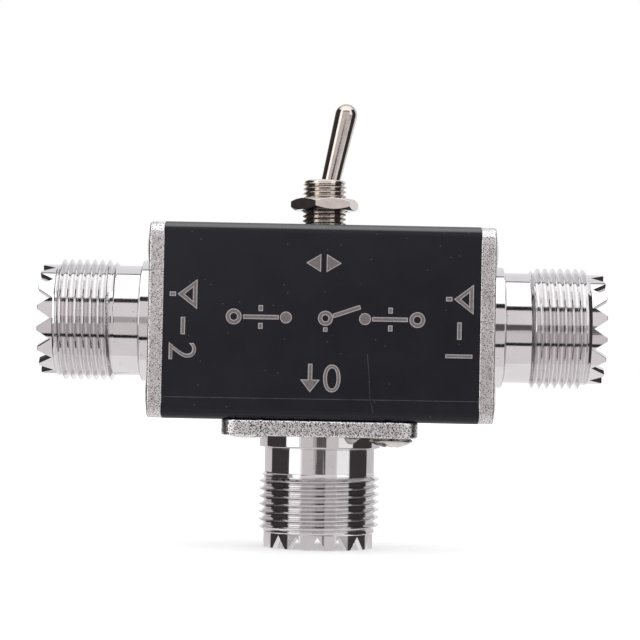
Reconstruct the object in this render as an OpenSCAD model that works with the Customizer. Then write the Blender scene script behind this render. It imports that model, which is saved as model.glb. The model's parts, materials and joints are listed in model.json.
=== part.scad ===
// Coaxial antenna switch: a square tube case with three flanged coaxial
// sockets and a miniature change-over toggle switch.
// Millimetres. X runs from socket 2 to socket 1, Y to the back, Z up.
// The origin is on the axis of the lower socket, in the plane of its rim.

/* [Case] */
// Length of the case tube
case_l = 40; // [39:0.5:60]
// Width and height of the square tube
case_w = 25; // [24.5:0.1:27]
// Wall thickness of the tube
case_wall = 2; // [1.8:0.1:2.5]
// Outer corner radius of the tube
case_r = 1.3; // [0.5:0.1:2]
// Radius of the metal round each screw port
port_boss_r = 2.7; // [2.4:0.1:3]
// Width of the slot along each screw port
port_slot = 1.2; // [0.8:0.1:1.6]

/* [Socket flange] */
// How far the square flange stands out past the case on each side
flange_proud = 0; // [0:0.05:0.5]
// Thickness of the flange
flange_t = 2; // [1.8:0.1:2.5]
// Corner radius of the flange
flange_r = 2; // [1:0.1:3]
// Distance between flange screws
hole_pitch = 18.3; // [17.8:0.1:18.6]

/* [Socket barrel] */
// Outer diameter of the screw thread
thread_d = 16; // [15.6:0.05:16.4]
// Length of the collar next to the flange
collar_l = 1.7; // [1.2:0.1:2.5]
// Length of the neck behind the thread
neck_l = 2.9; // [2:0.1:4]
// Diameter of the neck
neck_d = 14.5; // [14.2:0.05:15]
// Length of the thread
thread_l = 7.8; // [7:0.1:9]
// Length of the plain stretch in front of the thread
plain_l = 0.7; // [0.4:0.1:1.5]
// Diameter of the rim and of the plain stretch
rim_d = 14.45; // [14.2:0.05:14.8]
// Number of teeth round the rim
tooth_n = 16; // [12:2:16]
// Height of the teeth
tooth_h = 1.7; // [1:0.1:2]
// Width of a notch between teeth at the rim
notch_w = 2.3; // [1.5:0.1:2.3]
// Inner diameter of the cup
cup_d = 12.2; // [12:0.05:12.6]
// Depth of the cup
cup_depth = 8; // [7:0.1:9]
// Diameter of the boss behind the flange
boss_d = 12; // [11.8:0.1:12.4]
// Length of the boss behind the flange
boss_l = 2; // [1.8:0.1:2]

/* [Insulator and contact] */
// Diameter of the insulator
insulator_d = 10.4; // [10:0.1:10.5]
// Diameter of the insulator's rear shoulder
shoulder_d = 11; // [10.8:0.1:11.1]
// Length of the insulator's rear shoulder
shoulder_l = 1.2; // [0.8:0.1:1.3]
// Diameter of the insulator's hub behind the boss
hub_d = 7.6; // [7.2:0.1:8.4]
// Length of the insulator's hub behind the boss
hub_l = 1; // [0.6:0.1:1.5]
// Outer diameter of the centre contact
contact_d = 5.6; // [5.2:0.1:6]
// Bore of the centre contact
contact_bore = 4; // [3.9:0.05:4.1]
// Depth of the centre contact's bore
contact_deep = 10; // [9:0.1:10.5]
// Width of the four spring slots in the contact
contact_slot = 0.5; // [0.3:0.1:0.6]
// Length of the spring slots
slot_l = 6; // [4:0.1:8]
// Outer diameter of the solder cup at the rear
tail_d = 4.4; // [4:0.1:5]
// Bore of the solder cup
tail_bore = 3; // [2.6:0.1:3.2]
// Depth of the solder cup
tail_deep = 4; // [3:0.1:4.2]
// Reach of the solder cup behind the flange
tail_reach = 9.5; // [9.2:0.1:9.6]

/* [Screws] */
// Diameter of the flange screws
screw_d = 3; // [2.9:0.05:3.1]
// Diameter of the screw heads
head_d = 5.6; // [5.2:0.1:5.8]
// Height of the domed top of a screw head
dome_h = 0.4; // [0.2:0.05:0.7]
// Length of the screws of the end sockets
end_screw_l = 8; // [6:0.5:8]
// Length of the screws of the lower socket
low_screw_l = 6; // [5:0.5:7]
// How far the front right screw of the lower socket stands out
loose_raise = 0.85; // [0:0.05:1.2]

/* [Toggle bushing] */
// Outer diameter of the bushing's thread
bush_d = 5.8; // [5.7:0.05:6]
// Height of the bushing above the case
bush_up = 6.5; // [6:0.1:8]
// Distance from the top of the bushing down to the lever's pivot
pivot_drop = 3.5; // [3.3:0.1:3.6]
// Diameter of the spigot riveted into the frame
spigot_d = 5.3; // [5.1:0.05:5.4]
// Bore of the bushing below the ball
bush_bore = 4.6; // [4.5:0.05:4.7]
// Size of the hexagonal nut across its flats
nut_af = 8; // [7:0.1:9]
// Thickness of the nut
nut_t = 1.5; // [1.2:0.1:2]
// Distance from the top of the bushing down to the nut
nut_drop = 2.5; // [1:0.1:3]
// Turn of the nut about its axis
nut_turn = 15.6; // [0:0.2:60]
// Outer diameter of the toothed lock washer
washer_d = 9.6; // [8.5:0.1:11]
// Thickness of the lock washer
washer_t = 0.5; // [0.3:0.05:0.7]
// Number of teeth inside the lock washer
washer_teeth = 8; // [6:1:12]
// Width of the gaps between the lock washer's teeth
washer_slot = 1; // [0.8:0.1:1.2]

/* [Toggle lever] */
// Lean of the lever to each side of upright
lever_lean = 12; // [10:0.5:12]
// Length of the lever above its pivot
lever_up = 13.9; // [11:0.1:18]
// Diameter of the lever near its tip
tip_d = 2.95; // [2.5:0.05:3.4]
// Diameter of the lever at the top of the bushing
waist_d = 2.5; // [2.2:0.05:2.6]
// Diameter of the lever's ball
ball_d = 4; // [3.8:0.05:4]
// Diameter of the pivot pin
pin_d = 1; // [0.8:0.05:1.1]
// Diameter of the lever's stem below the ball
stem_d = 1.8; // [1.7:0.05:1.8]
// Length of the stem below the pivot
stem_l = 8; // [7.4:0.1:8.2]
// Reach of the nib below the pivot
nib_reach = 9.6; // [9.3:0.1:9.8]
// Diameter of the sprung nib
nib_d = 1.1; // [1:0.05:1.15]
// Length of the sprung nib
nib_l = 3.2; // [3:0.1:3.5]
// Length of the spring above the nib
spring_l = 3.4; // [3:0.1:3.6]
// Diameter of the spring's wire
spring_wire = 0.2; // [0.14:0.02:0.22]
// Number of turns of the spring
spring_turns = 5; // [4:1:6]

/* [Toggle body] */
// Length of the switch body
body_l = 13.2; // [12.8:0.1:14]
// Width of the switch body
body_w = 7.9; // [7:0.1:9]
// Height of the moulded base
base_h = 8.7; // [8.5:0.1:9]
// Thickness of the steel frame
frame_t = 0.5; // [0.4:0.05:0.6]
// Width of the frame's legs
leg_w = 5; // [4:0.1:6]
// Length of the frame's bent tabs
tab_l = 0.8; // [0.6:0.05:0.8]
// Wall of the moulded base
base_wall = 0.9; // [0.8:0.05:1]
// Half width of the cavity in the base
cavity_y = 2.4; // [2.1:0.1:2.8]
// Thickness of the base's floor
floor_t = 1.4; // [1.2:0.1:1.8]

/* [Toggle contacts] */
// Room between an outer terminal and the base's end wall
end_room = 0.1; // [0.05:0.05:0.3]
// Thickness of the terminals
blade_t = 0.7; // [0.6:0.05:0.8]
// Width of the terminals
blade_w = 2; // [1.8:0.1:2.2]
// Length of the outer terminals below the base
blade_l = 4; // [3.6:0.1:4.4]
// Drop of the wire holes below the base
eye_drop = 2.2; // [2:0.1:2.4]
// Thickness of the rocker's strip
rocker_t = 0.3; // [0.25:0.05:0.3]
// Width of the rocker
rocker_w = 4; // [3.4:0.1:4]
// How far a rocker arm reaches past the middle of an outer terminal
arm_past = 0.2; // [0:0.05:0.3]
// Upward angle of each rocker arm
arm_rise = 12; // [11.5:0.5:12]
// Tilt of the rocker to each side
rocker_tilt = 10; // [9.5:0.5:10]
// Diameter of the fixed contact buttons
button_d = 1; // [0.8:0.1:1.2]
// Distance of a button inward from its terminal
button_in = 0.4; // [0.3:0.05:0.6]

/* [Wires] */
// Diameter of the bare link wires
wire_d = 0.8; // [0.6:0.1:0.8]
// Bend radius of the link wires
wire_bend = 1.2; // [1:0.1:1.3]
// Angle of the bends in the link wires
wire_angle = 50; // [45:1:60]
// How far wires and blade reach into the solder cups
cup_reach = 1.6; // [1.2:0.1:2]

/* [Clearances] */
// Gap round threads and fitted pieces
fit_gap = 0.05; // [0.03:0.01:0.06]
// Gap round the screw shanks in the flanges
screw_gap = 0.15; // [0.1:0.05:0.3]
// Gap round the boss in the case wall
boss_gap = 0.2; // [0.1:0.05:0.4]
// Gap round the blades in the base
blade_gap = 0.02; // [0.01:0.01:0.05]
// Least gap between the nib and the rocker in passing
nib_gap = 0.13; // [0.12:0.01:0.2]

/* [Hidden] */
$fn = 96;
cut = 0.5;                 // how far a cutting shape runs past a surface

black = "#28282d";
nickel = "#c8c6c2";
bright = "#dcdad6";
silver = "#d6d4cf";
steel = "#a9abae";
copper = "#b5673a";
ptfe = "#f2f1ec";
moulding = "#27408f";
nylon = "#efe9d8";

// Places along the height of the part
barrel_l = collar_l + neck_l + thread_l + plain_l + tooth_h;
socket_l = flange_t + barrel_l;
mid_z = socket_l + case_w / 2;
top_z = mid_z + case_w / 2;
inner_w = case_w - 2 * case_wall;
flange_w = case_w + 2 * flange_proud;
port = hole_pitch / 2;

// Places in the socket, measured outward from the back of its flange
neck_z = flange_t + collar_l;
thread_z = neck_z + neck_l;
plain_z = thread_z + thread_l;
rim_z = socket_l;
face_z = rim_z - cup_depth;
lip_t = 0.4;
pocket_z = lip_t - boss_l;
cone_h = (head_d - screw_d) / 2;
notch_in = 0.1;            // how far a notch's cutter starts inside the cup

// Places in the toggle switch, measured up from the top of the case
roof_z = -case_wall;
plate_z = roof_z - washer_t;
base_top = plate_z - frame_t;
base_z = base_top - base_h;
floor_z = base_z + floor_t;
pivot_z = bush_up - pivot_drop;
base_l = body_l - 2 * frame_t - 2 * fit_gap;
pin_pitch = base_l / 2 - base_wall - end_room - blade_t / 2;
rocker_arm = pin_pitch + arm_past;
button_x = pin_pitch - button_in;
edge_r = blade_t / 2;
saddle_r = edge_r + fit_gap;
arm_lift = 0.03;
arm_z = saddle_r + arm_lift;    // underside of a rocker arm, from the rocker's axis
rocker_z = pivot_z - nib_reach - arm_z - rocker_t - nib_gap;
rest_slope = arm_rise - rocker_tilt;
button_top = rocker_z + arm_z / cos(rest_slope)
           + (button_x - button_d / 2) * tan(rest_slope) - blade_gap;
button_h = 0.3;
shelf_z = button_top - button_h;
shelf_t = 0.5;
stem_bore = nib_d + 2 * fit_gap;
nib_top = nib_l - nib_reach;

// The blade in the middle reaches down into the lower socket's solder cup,
// and each wire from an outer blade's eye into an end socket's cup.
cup_mouth_z = socket_l + tail_reach - top_z;
long_blade = base_z - cup_mouth_z + cup_reach;
wire_rise = mid_z - (top_z + base_z - eye_drop);
wire_slant = (wire_rise - 2 * wire_bend * (1 - cos(wire_angle))) / sin(wire_angle);
wire_in = case_l / 2 - tail_reach + cup_reach;

module at_ant1() { translate([case_l / 2, 0, mid_z]) rotate([0, 90, 0]) children(); }
module at_ant2() { translate([-case_l / 2, 0, mid_z]) rotate([0, -90, 0]) children(); }
module at_tx() { translate([0, 0, socket_l]) rotate([180, 0, 0]) children(); }
module at_top() { translate([0, 0, top_z]) children(); }
module in_lever() { at_top() translate([0, 0, pivot_z]) rotate([0, lever_lean, 0]) children(); }

// The four screw places of a flange, as children at each
module at_screws() {
    for (x = [-port, port], y = [-port, port]) translate([x, y, 0]) children();
}

// A square with round corners, from two bars and four discs
module rounded_square(w, r) {
    square([w - 2 * r, w], center = true);
    square([w, w - 2 * r], center = true);
    for (x = [-1, 1], y = [-1, 1]) translate([x, y] * (w / 2 - r)) circle(r = r);
}

// A flat outline in X and Z, given thickness along Y
module across_y(w) {
    rotate([90, 0, 0]) linear_extrude(height = w, center = true) children();
}

// ---- Case ----

// One quarter of the extruded section: the metal round a screw port
module port_metal() {
    translate([port, port]) circle(r = port_boss_r);
    translate([port, port]) square([inner_w / 2 - port + cut, port_boss_r]);
    translate([port, port]) square([port_boss_r, inner_w / 2 - port + cut]);
}

module case_section() {
    difference() {
        rounded_square(case_w, case_r);
        difference() {
            square(inner_w, center = true);
            for (x = [0, 1], y = [0, 1]) mirror([x, 0]) mirror([0, y]) port_metal();
        }
        for (x = [0, 1], y = [0, 1]) mirror([x, 0]) mirror([0, y]) translate([port, port]) {
            circle(d = screw_d + 2 * fit_gap);
            rotate(225) translate([0, -port_slot / 2]) square([port_boss_r + cut, port_slot]);
        }
    }
}

module case_tube() {
    color(black) difference() {
        translate([0, 0, mid_z]) rotate([90, 0, 90])
            linear_extrude(height = case_l, center = true) case_section();
        at_tx() {
            translate([0, 0, -case_wall - cut])
                cylinder(d = boss_d + 2 * boss_gap, h = case_wall + 2 * cut);
            at_screws() translate([0, 0, flange_t - low_screw_l - cut])
                cylinder(d = screw_d + 2 * fit_gap, h = low_screw_l);
        }
        at_top() translate([0, 0, roof_z - cut])
            cylinder(d = bush_d + 2 * fit_gap, h = case_wall + 2 * cut);
    }
}

// ---- Sockets ----

// Half section of the turned shell: boss, collar, neck, thread at its full diameter,
// rim and cup outside in, then the insulator's bore and the rolled lip that holds it
module shell_outline() {
    bore_r = insulator_d / 2 + fit_gap;
    step_r = shoulder_d / 2 + fit_gap;
    step_z = pocket_z + shoulder_l + fit_gap;
    polygon([[insulator_d / 2 - lip_t / 2, -boss_l], [boss_d / 2, -boss_l], [boss_d / 2, 0],
             [thread_d / 2, 0], [thread_d / 2, neck_z], [neck_d / 2, neck_z], [neck_d / 2, thread_z],
             [thread_d / 2, thread_z], [thread_d / 2, plain_z], [rim_d / 2, plain_z],
             [rim_d / 2, rim_z], [cup_d / 2, rim_z], [cup_d / 2, face_z], [bore_r, face_z],
             [bore_r, step_z], [step_r, step_z], [step_r, pocket_z],
             [insulator_d / 2 - lip_t / 2, pocket_z]]);
}

// V notches all round the rim, with one facing the front
module rim_notches() {
    for (i = [0 : tooth_n - 1]) rotate(90 + i * 360 / tooth_n)
        translate([cup_d / 2 - notch_in, 0, rim_z]) rotate([90, 0, 90])
            linear_extrude(height = notch_in + (rim_d - cup_d) / 2 + cut)
                polygon([[-notch_w / 2, 0], [0, -tooth_h], [notch_w / 2, 0], [notch_w / 2, cut],
                         [-notch_w / 2, cut]]);
}

module socket_shell() {
    color(nickel) difference() {
        union() {
            linear_extrude(height = flange_t) difference() {
                rounded_square(flange_w, flange_r);
                circle(d = cup_d);
            }
            rotate_extrude() shell_outline();
        }
        rim_notches();
        at_screws() {
            translate([0, 0, -cut]) cylinder(d = screw_d + 2 * screw_gap, h = flange_t + 2 * cut);
            translate([0, 0, flange_t - cone_h - fit_gap])
                cylinder(d1 = screw_d, d2 = head_d + 4 * fit_gap, h = cone_h + 2 * fit_gap);
        }
    }
}

module insulator() {
    color(ptfe) difference() {
        union() {
            translate([0, 0, pocket_z]) cylinder(d = insulator_d, h = face_z - pocket_z);
            translate([0, 0, pocket_z]) cylinder(d = shoulder_d, h = shoulder_l);
            translate([0, 0, -boss_l - hub_l]) cylinder(d = hub_d, h = boss_l + hub_l);
        }
        translate([0, 0, -boss_l - hub_l - cut])
            cylinder(d = contact_d + 2 * fit_gap, h = face_z + boss_l + hub_l + 2 * cut);
    }
}

// Spring contact in front, a shoulder against the insulator's hub, a solder cup behind
module centre_contact() {
    ring_z = -boss_l - hub_l;
    ring_t = 0.6;
    ring_proud = 0.5;
    color(silver) difference() {
        union() {
            translate([0, 0, ring_z]) cylinder(d = contact_d, h = face_z - ring_z);
            translate([0, 0, ring_z - ring_t]) cylinder(d = contact_d + 2 * ring_proud, h = ring_t);
            translate([0, 0, -tail_reach]) cylinder(d = tail_d, h = tail_reach);
        }
        translate([0, 0, face_z - contact_deep]) cylinder(d = contact_bore, h = contact_deep + cut);
        translate([0, 0, -tail_reach - cut]) cylinder(d = tail_bore, h = tail_deep + cut);
        for (a = [45, 135]) rotate(a) translate([-contact_d, -contact_slot / 2, face_z - slot_l])
            cube([2 * contact_d, contact_slot, slot_l + cut]);
    }
}

// Countersunk screw with a domed head, at the flange's outer face
module flange_screw(l) {
    dome_r = (pow(head_d / 2, 2) + pow(dome_h, 2)) / (2 * dome_h);
    translate([0, 0, -cone_h]) cylinder(d1 = screw_d, d2 = head_d, h = cone_h);
    translate([0, 0, -l]) cylinder(d = screw_d, h = l - cone_h);
    intersection() {
        cylinder(d = head_d, h = dome_h);
        translate([0, 0, dome_h - dome_r]) sphere(r = dome_r);
    }
}

module end_screws() {
    color(bright) translate([0, 0, flange_t]) at_screws() flange_screw(end_screw_l);
}

module tx_flange_screws() {
    color(bright) at_tx() for (x = [-port, port], y = [-port, port])
        translate([x, y, flange_t + (x > 0 && y > 0 ? loose_raise : 0)]) flange_screw(low_screw_l);
}

// ---- Toggle switch: bushing and what is on it ----

// Half section of the bushing: spigot, body and chamfered top outside, then the flared
// mouth, the lip over the ball, the ball's seat and the wide bore below it
module bushing_outline() {
    chamfer = 0.3;
    lip_angle = 41.3;
    lip_gap = 0.2;
    seat_up = 0.45;
    flare = 0.5;
    seat = ball_d / 2 + fit_gap;
    lip = (ball_d / 2 + lip_gap) * cos(lip_angle);
    lip_z = pivot_z + (ball_d / 2 + lip_gap) * sin(lip_angle);
    polygon([[bush_bore / 2, base_top], [spigot_d / 2, base_top], [spigot_d / 2, plate_z],
             [bush_d / 2, plate_z], [bush_d / 2, bush_up - chamfer], [bush_d / 2 - chamfer, bush_up],
             [lip + flare, bush_up], [lip, lip_z], [seat, pivot_z + seat_up],
             [seat, pivot_z - ball_d / 2], [bush_bore / 2, pivot_z - ball_d / 2]]);
}

module toggle_bushing() {
    color(nickel) at_top() difference() {
        rotate_extrude() bushing_outline();
        translate([0, 0, pivot_z]) rotate([90, 0, 0])
            cylinder(d = pin_d + blade_gap, h = 2 * bush_d, center = true);
    }
}

// Hexagonal nut with its corners turned down at both faces
module bushing_nut() {
    corner_d = nut_af / cos(30);
    bevel = (corner_d - nut_af) / 2;
    color(bright) at_top() translate([0, 0, bush_up - nut_drop - nut_t]) difference() {
        intersection() {
            rotate(nut_turn) cylinder(d = corner_d, h = nut_t, $fn = 6);
            union() {
                cylinder(d1 = nut_af, d2 = nut_af + 4 * bevel, h = nut_t / 2);
                translate([0, 0, nut_t / 2]) cylinder(d1 = nut_af + 4 * bevel, d2 = nut_af, h = nut_t / 2);
            }
        }
        translate([0, 0, -cut]) cylinder(d = bush_d + 2 * fit_gap, h = nut_t + 2 * cut);
    }
}

// Spring steel ring with teeth that point inward
module lock_washer() {
    tooth_in = bush_d + 2 * fit_gap;
    ring_in = (washer_d + tooth_in) / 2;
    color(steel) at_top() translate([0, 0, plate_z]) linear_extrude(height = washer_t) difference() {
        circle(d = washer_d);
        circle(d = tooth_in);
        for (i = [0 : washer_teeth - 1]) rotate(i * 360 / washer_teeth)
            translate([tooth_in / 2 - cut, -washer_slot / 2])
                square([(ring_in - tooth_in) / 2 + cut, washer_slot]);
    }
}

// Steel strap over the base: a pierced plate, two legs, and tabs bent under
module toggle_frame() {
    color(steel) at_top() difference() {
        union() {
            translate([-body_l / 2, -body_w / 2, base_top]) cube([body_l, body_w, frame_t]);
            for (s = [0, 1]) mirror([s, 0, 0]) {
                translate([body_l / 2 - frame_t, -leg_w / 2, base_z]) cube([frame_t, leg_w, base_h + frame_t]);
                translate([body_l / 2 - frame_t - tab_l, -leg_w / 2, base_z]) cube([tab_l, leg_w, frame_t]);
            }
        }
        translate([0, 0, base_top - cut]) cylinder(d = spigot_d + 2 * fit_gap, h = frame_t + 2 * cut);
    }
}

module toggle_base() {
    tab_room = tab_l + frame_t;
    color(moulding) at_top() difference() {
        translate([-base_l / 2, -body_w / 2, base_z]) cube([base_l, body_w, base_h]);
        translate([-base_l / 2 + base_wall, -cavity_y, floor_z])
            cube([base_l - 2 * base_wall, 2 * cavity_y, base_h]);
        for (s = [0, 1]) mirror([s, 0, 0])
            translate([body_l / 2 - tab_room - fit_gap, -leg_w / 2 - fit_gap, base_z - cut])
                cube([tab_room, leg_w + 2 * fit_gap, frame_t + cut + fit_gap]);
        for (x = [-pin_pitch, 0, pin_pitch]) translate([x, 0, base_z])
            cube([blade_t + 2 * blade_gap, blade_w + 2 * blade_gap, 2 * floor_t + cut], center = true);
    }
}

// ---- Toggle switch: lever ----

// Tapered bat with a round tip, the ball, and the stem that holds the nib
module toggle_lever() {
    tip_z = lever_up - tip_d / 2;
    throat_d = waist_d - 2 * fit_gap;
    color(bright) in_lever() difference() {
        union() {
            translate([0, 0, tip_z]) sphere(d = tip_d);
            translate([0, 0, pivot_drop]) cylinder(d1 = waist_d, d2 = tip_d, h = tip_z - pivot_drop);
            cylinder(d1 = throat_d, d2 = waist_d, h = pivot_drop);
            sphere(d = ball_d);
            translate([0, 0, -stem_l]) cylinder(d = stem_d, h = stem_l);
        }
        rotate([90, 0, 0]) cylinder(d = pin_d + 2 * fit_gap, h = 2 * ball_d, center = true);
        translate([0, 0, -stem_l - cut])
            cylinder(d = stem_bore, h = stem_l + cut + nib_top + spring_l);
    }
}

module lever_pivot_pin() {
    color(steel) at_top() translate([0, 0, pivot_z]) rotate([90, 0, 0])
        cylinder(d = pin_d, h = bush_d - 4 * fit_gap, center = true);
}

module lever_plunger() {
    color(nylon) in_lever() {
        translate([0, 0, nib_d / 2 - nib_reach]) cylinder(d = nib_d, h = nib_l - nib_d / 2);
        translate([0, 0, nib_d / 2 - nib_reach]) sphere(d = nib_d);
    }
}

// Compression spring: a round wire swept along a helix, one ring of points per step
module plunger_spring() {
    per_turn = 16;
    sides = 8;
    steps = spring_turns * per_turn;
    coil_r = nib_d / 2 - spring_wire / 2;
    z0 = nib_top + spring_wire / 2;
    climb = spring_l - spring_wire;
    slope = atan(climb / (spring_turns * 360 * PI / 180 * coil_r));
    ring = [for (i = [0 : steps], k = [0 : sides - 1])
        let (a = 360 * i / per_turn, b = 360 * k / sides, out = spring_wire / 2 * cos(b),
             up = spring_wire / 2 * sin(b))
        [(coil_r + out) * cos(a) + up * sin(slope) * sin(a),
         (coil_r + out) * sin(a) - up * sin(slope) * cos(a),
         z0 + climb * i / steps + up * cos(slope)]];
    walls = [for (i = [0 : steps - 1], k = [0 : sides - 1])
        let (a = i * sides + k, b = i * sides + (k + 1) % sides)
        each [[a, a + sides, b + sides], [a, b + sides, b]]];
    first = [for (k = [0 : sides - 1]) k];
    last = [for (k = [sides - 1 : -1 : 0]) steps * sides + k];
    color(steel) in_lever() polyhedron(points = ring, faces = concat(walls, [first, last]));
}

// ---- Toggle switch: contacts ----

// See-saw strip: two rising arms over a saddle that rides on the middle terminal
module rocker_contact() {
    color(silver) at_top() translate([0, 0, rocker_z]) rotate([0, -rocker_tilt, 0]) across_y(rocker_w) {
        difference() {
            circle(r = saddle_r + rocker_t);
            circle(r = saddle_r);
            translate([-blade_w, -2 * blade_w]) square(2 * blade_w);
        }
        for (s = [-1, 1]) rotate(s * arm_rise)
            translate([s > 0 ? 0 : -rocker_arm, arm_z]) square([rocker_arm, rocker_t]);
    }
}

// T-shaped terminal whose rounded upper edge carries the rocker
module common_terminal() {
    edge_in = 0.2;
    edge_w = rocker_w - 2 * edge_in;
    color(silver) at_top() {
        translate([-edge_r, -edge_w / 2, floor_z]) cube([blade_t, edge_w, rocker_z - floor_z]);
        translate([0, 0, rocker_z]) rotate([90, 0, 0]) cylinder(r = edge_r, h = edge_w, center = true);
        translate([-edge_r, -blade_w / 2, base_z - long_blade])
            cube([blade_t, blade_w, long_blade + rocker_z - base_z]);
    }
}

// Outer terminal: a blade with an eye for the wire, bent over inside to hold a button
module outer_terminal() {
    color(silver) at_top() difference() {
        union() {
            translate([pin_pitch - blade_t / 2, -blade_w / 2, base_z - blade_l])
                cube([blade_t, blade_w, shelf_z - base_z + blade_l]);
            translate([button_x - button_d, -blade_w / 2, shelf_z - shelf_t])
                cube([pin_pitch + blade_t / 2 - button_x + button_d, blade_w, shelf_t]);
            translate([button_x, 0, shelf_z - shelf_t]) cylinder(d = button_d, h = shelf_t + button_h);
        }
        translate([pin_pitch, 0, base_z - eye_drop]) rotate([0, 90, 0])
            cylinder(d = wire_d + 4 * fit_gap, h = 2 * blade_t, center = true);
    }
}

module ant1_terminal() { outer_terminal(); }
module ant2_terminal() { mirror([1, 0, 0]) outer_terminal(); }

// A straight piece of wire along X, then the rest of the wire as children at its end
module wire_run(l) {
    rotate([0, 90, 0]) cylinder(d = wire_d, h = l);
    translate([l, 0, 0]) children();
}

// A bend of the wire in the XZ plane, up for side 1 and back for side -1
module wire_arc(side) {
    mirror([0, 0, side > 0 ? 0 : 1]) {
        translate([0, 0, wire_bend]) rotate([90, 0, 0]) rotate([0, 0, -90])
            rotate_extrude(angle = wire_angle) translate([wire_bend, 0]) circle(d = wire_d);
    }
    translate([wire_bend * sin(wire_angle), 0, side * wire_bend * (1 - cos(wire_angle))])
        rotate([0, -side * wire_angle, 0]) children();
}

// Bare wire: through the terminal's eye, up in two bends, into the solder cup
module link_wire() {
    start_x = pin_pitch - blade_t;
    lead = 1.2;
    first_l = 2 * blade_t + lead;
    bends_l = 2 * wire_bend * sin(wire_angle) + wire_slant * cos(wire_angle);
    last_l = wire_in - start_x - first_l - bends_l;
    color(copper) translate([start_x, 0, mid_z - wire_rise])
        wire_run(first_l) wire_arc(1) wire_run(wire_slant) wire_arc(-1) wire_run(last_l);
}

module ant1_wire() { link_wire(); }
module ant2_wire() { mirror([1, 0, 0]) link_wire(); }

case_tube();
at_ant1() socket_shell();  // ant1_socket_shell
at_ant2() socket_shell();  // ant2_socket_shell
at_tx() socket_shell();  // tx_socket_shell
at_ant1() insulator();  // ant1_insulator
at_ant2() insulator();  // ant2_insulator
at_tx() insulator();  // tx_insulator
at_ant1() centre_contact();  // ant1_contact
at_ant2() centre_contact();  // ant2_contact
at_tx() centre_contact();  // tx_contact
at_ant1() end_screws();  // ant1_flange_screws
at_ant2() end_screws();  // ant2_flange_screws
tx_flange_screws();
toggle_bushing();
bushing_nut();
lock_washer();
toggle_frame();
toggle_base();
toggle_lever();
lever_pivot_pin();
lever_plunger();
plunger_spring();
rocker_contact();
common_terminal();
ant1_terminal();
ant2_terminal();
ant1_wire();
ant2_wire();
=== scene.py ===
"""Looks of a two-way coaxial antenna switch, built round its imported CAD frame.

Lengths are millimetres, because the real drawings of such parts are. They become Blender's
metres where a mesh, a curve or the camera is made.
"""

import json
import logging
import math
from dataclasses import dataclass, replace
from enum import Enum
from typing import Any

import bmesh
import bpy
import numpy as np
from mathutils import Matrix, Vector

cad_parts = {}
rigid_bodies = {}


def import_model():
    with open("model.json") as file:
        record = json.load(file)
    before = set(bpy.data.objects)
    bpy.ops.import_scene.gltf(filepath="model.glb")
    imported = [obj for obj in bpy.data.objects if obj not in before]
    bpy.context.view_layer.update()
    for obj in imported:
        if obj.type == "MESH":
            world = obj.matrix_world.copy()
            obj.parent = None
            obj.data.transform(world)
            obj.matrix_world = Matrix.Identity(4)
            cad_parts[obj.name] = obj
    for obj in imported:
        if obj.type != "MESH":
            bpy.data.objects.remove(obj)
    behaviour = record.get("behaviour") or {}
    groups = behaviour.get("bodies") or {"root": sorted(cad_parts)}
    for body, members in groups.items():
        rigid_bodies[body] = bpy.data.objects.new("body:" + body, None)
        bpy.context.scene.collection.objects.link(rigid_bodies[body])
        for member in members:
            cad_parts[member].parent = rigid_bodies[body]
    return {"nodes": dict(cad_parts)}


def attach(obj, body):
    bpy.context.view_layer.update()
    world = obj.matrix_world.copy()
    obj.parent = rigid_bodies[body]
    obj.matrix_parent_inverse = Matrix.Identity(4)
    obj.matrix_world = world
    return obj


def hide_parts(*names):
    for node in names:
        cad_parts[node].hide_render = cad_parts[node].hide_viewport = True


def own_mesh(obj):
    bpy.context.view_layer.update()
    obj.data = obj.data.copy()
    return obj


for leftover in list(bpy.data.objects):
    bpy.data.objects.remove(leftover)
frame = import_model()

Outline = list[tuple[float, float]]

LOG = logging.getLogger("antenna_switch")
MM = 0.001
TURN = 2 * np.pi
WHITE = (1, 1, 1, 1)
BLACK = (0, 0, 0, 1)

# Sizes in mm that several pieces share: the tube, the flanges with their screw places, the lever
CASE_HALF = 12.5
CASE_END = 20.0
MIDDLE_Z = 29.3
UNDERSIDE_Z = 16.8
FLANGE_T = 2.0
PORT = 9.15
PORTS = [(x, y) for x in (-PORT, PORT) for y in (-PORT, PORT)]
PIVOT_Z = 44.8
LEAN = math.radians(12)


class Body(Enum):
    """The bodies of the frame that new pieces ride on, by the names the record gives them."""

    CASE = "case"
    LEVER = "lever"


class Axis(Enum):
    """The axis a turned piece was turned about, as a direction."""

    X = (1.0, 0.0, 0.0)
    Z = (0.0, 0.0, 1.0)
    LEVER = (math.sin(LEAN), 0.0, math.cos(LEAN))


class Slot(Enum):
    """The material slots of the new pieces, by the names the record gives them."""

    ANODISED = "black_anodised"
    SHELL = "nickel_shell"
    SCREW = "screw_steel"
    PTFE = "ptfe"
    CONTACT = "silver_contact"
    TOGGLE = "toggle_nickel"
    SPRING = "spring_steel"


# ---- Small tools ----


def srgb(code: str) -> tuple[float, float, float, float]:
    """Turn an sRGB hex colour into Blender's linear one.

    Args:
        code: six hex digits with a leading hash.

    Returns:
        Red, green, blue and alpha, linear.
    """
    values = [int(code[i:i + 2], 16) / 255 for i in (1, 3, 5)]
    red, green, blue = [v / 12.92 if v <= 0.04045 else ((v + 0.055) / 1.055) ** 2.4 for v in values]
    return (red, green, blue, 1.0)


def smooth_step(x: np.ndarray) -> np.ndarray:
    """Rise from 0 to 1 as x goes from 0 to 1, with level ends: 3x^2 - 2x^3."""
    t = np.clip(x, 0, 1)
    return t * t * (3 - 2 * t)


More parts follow.
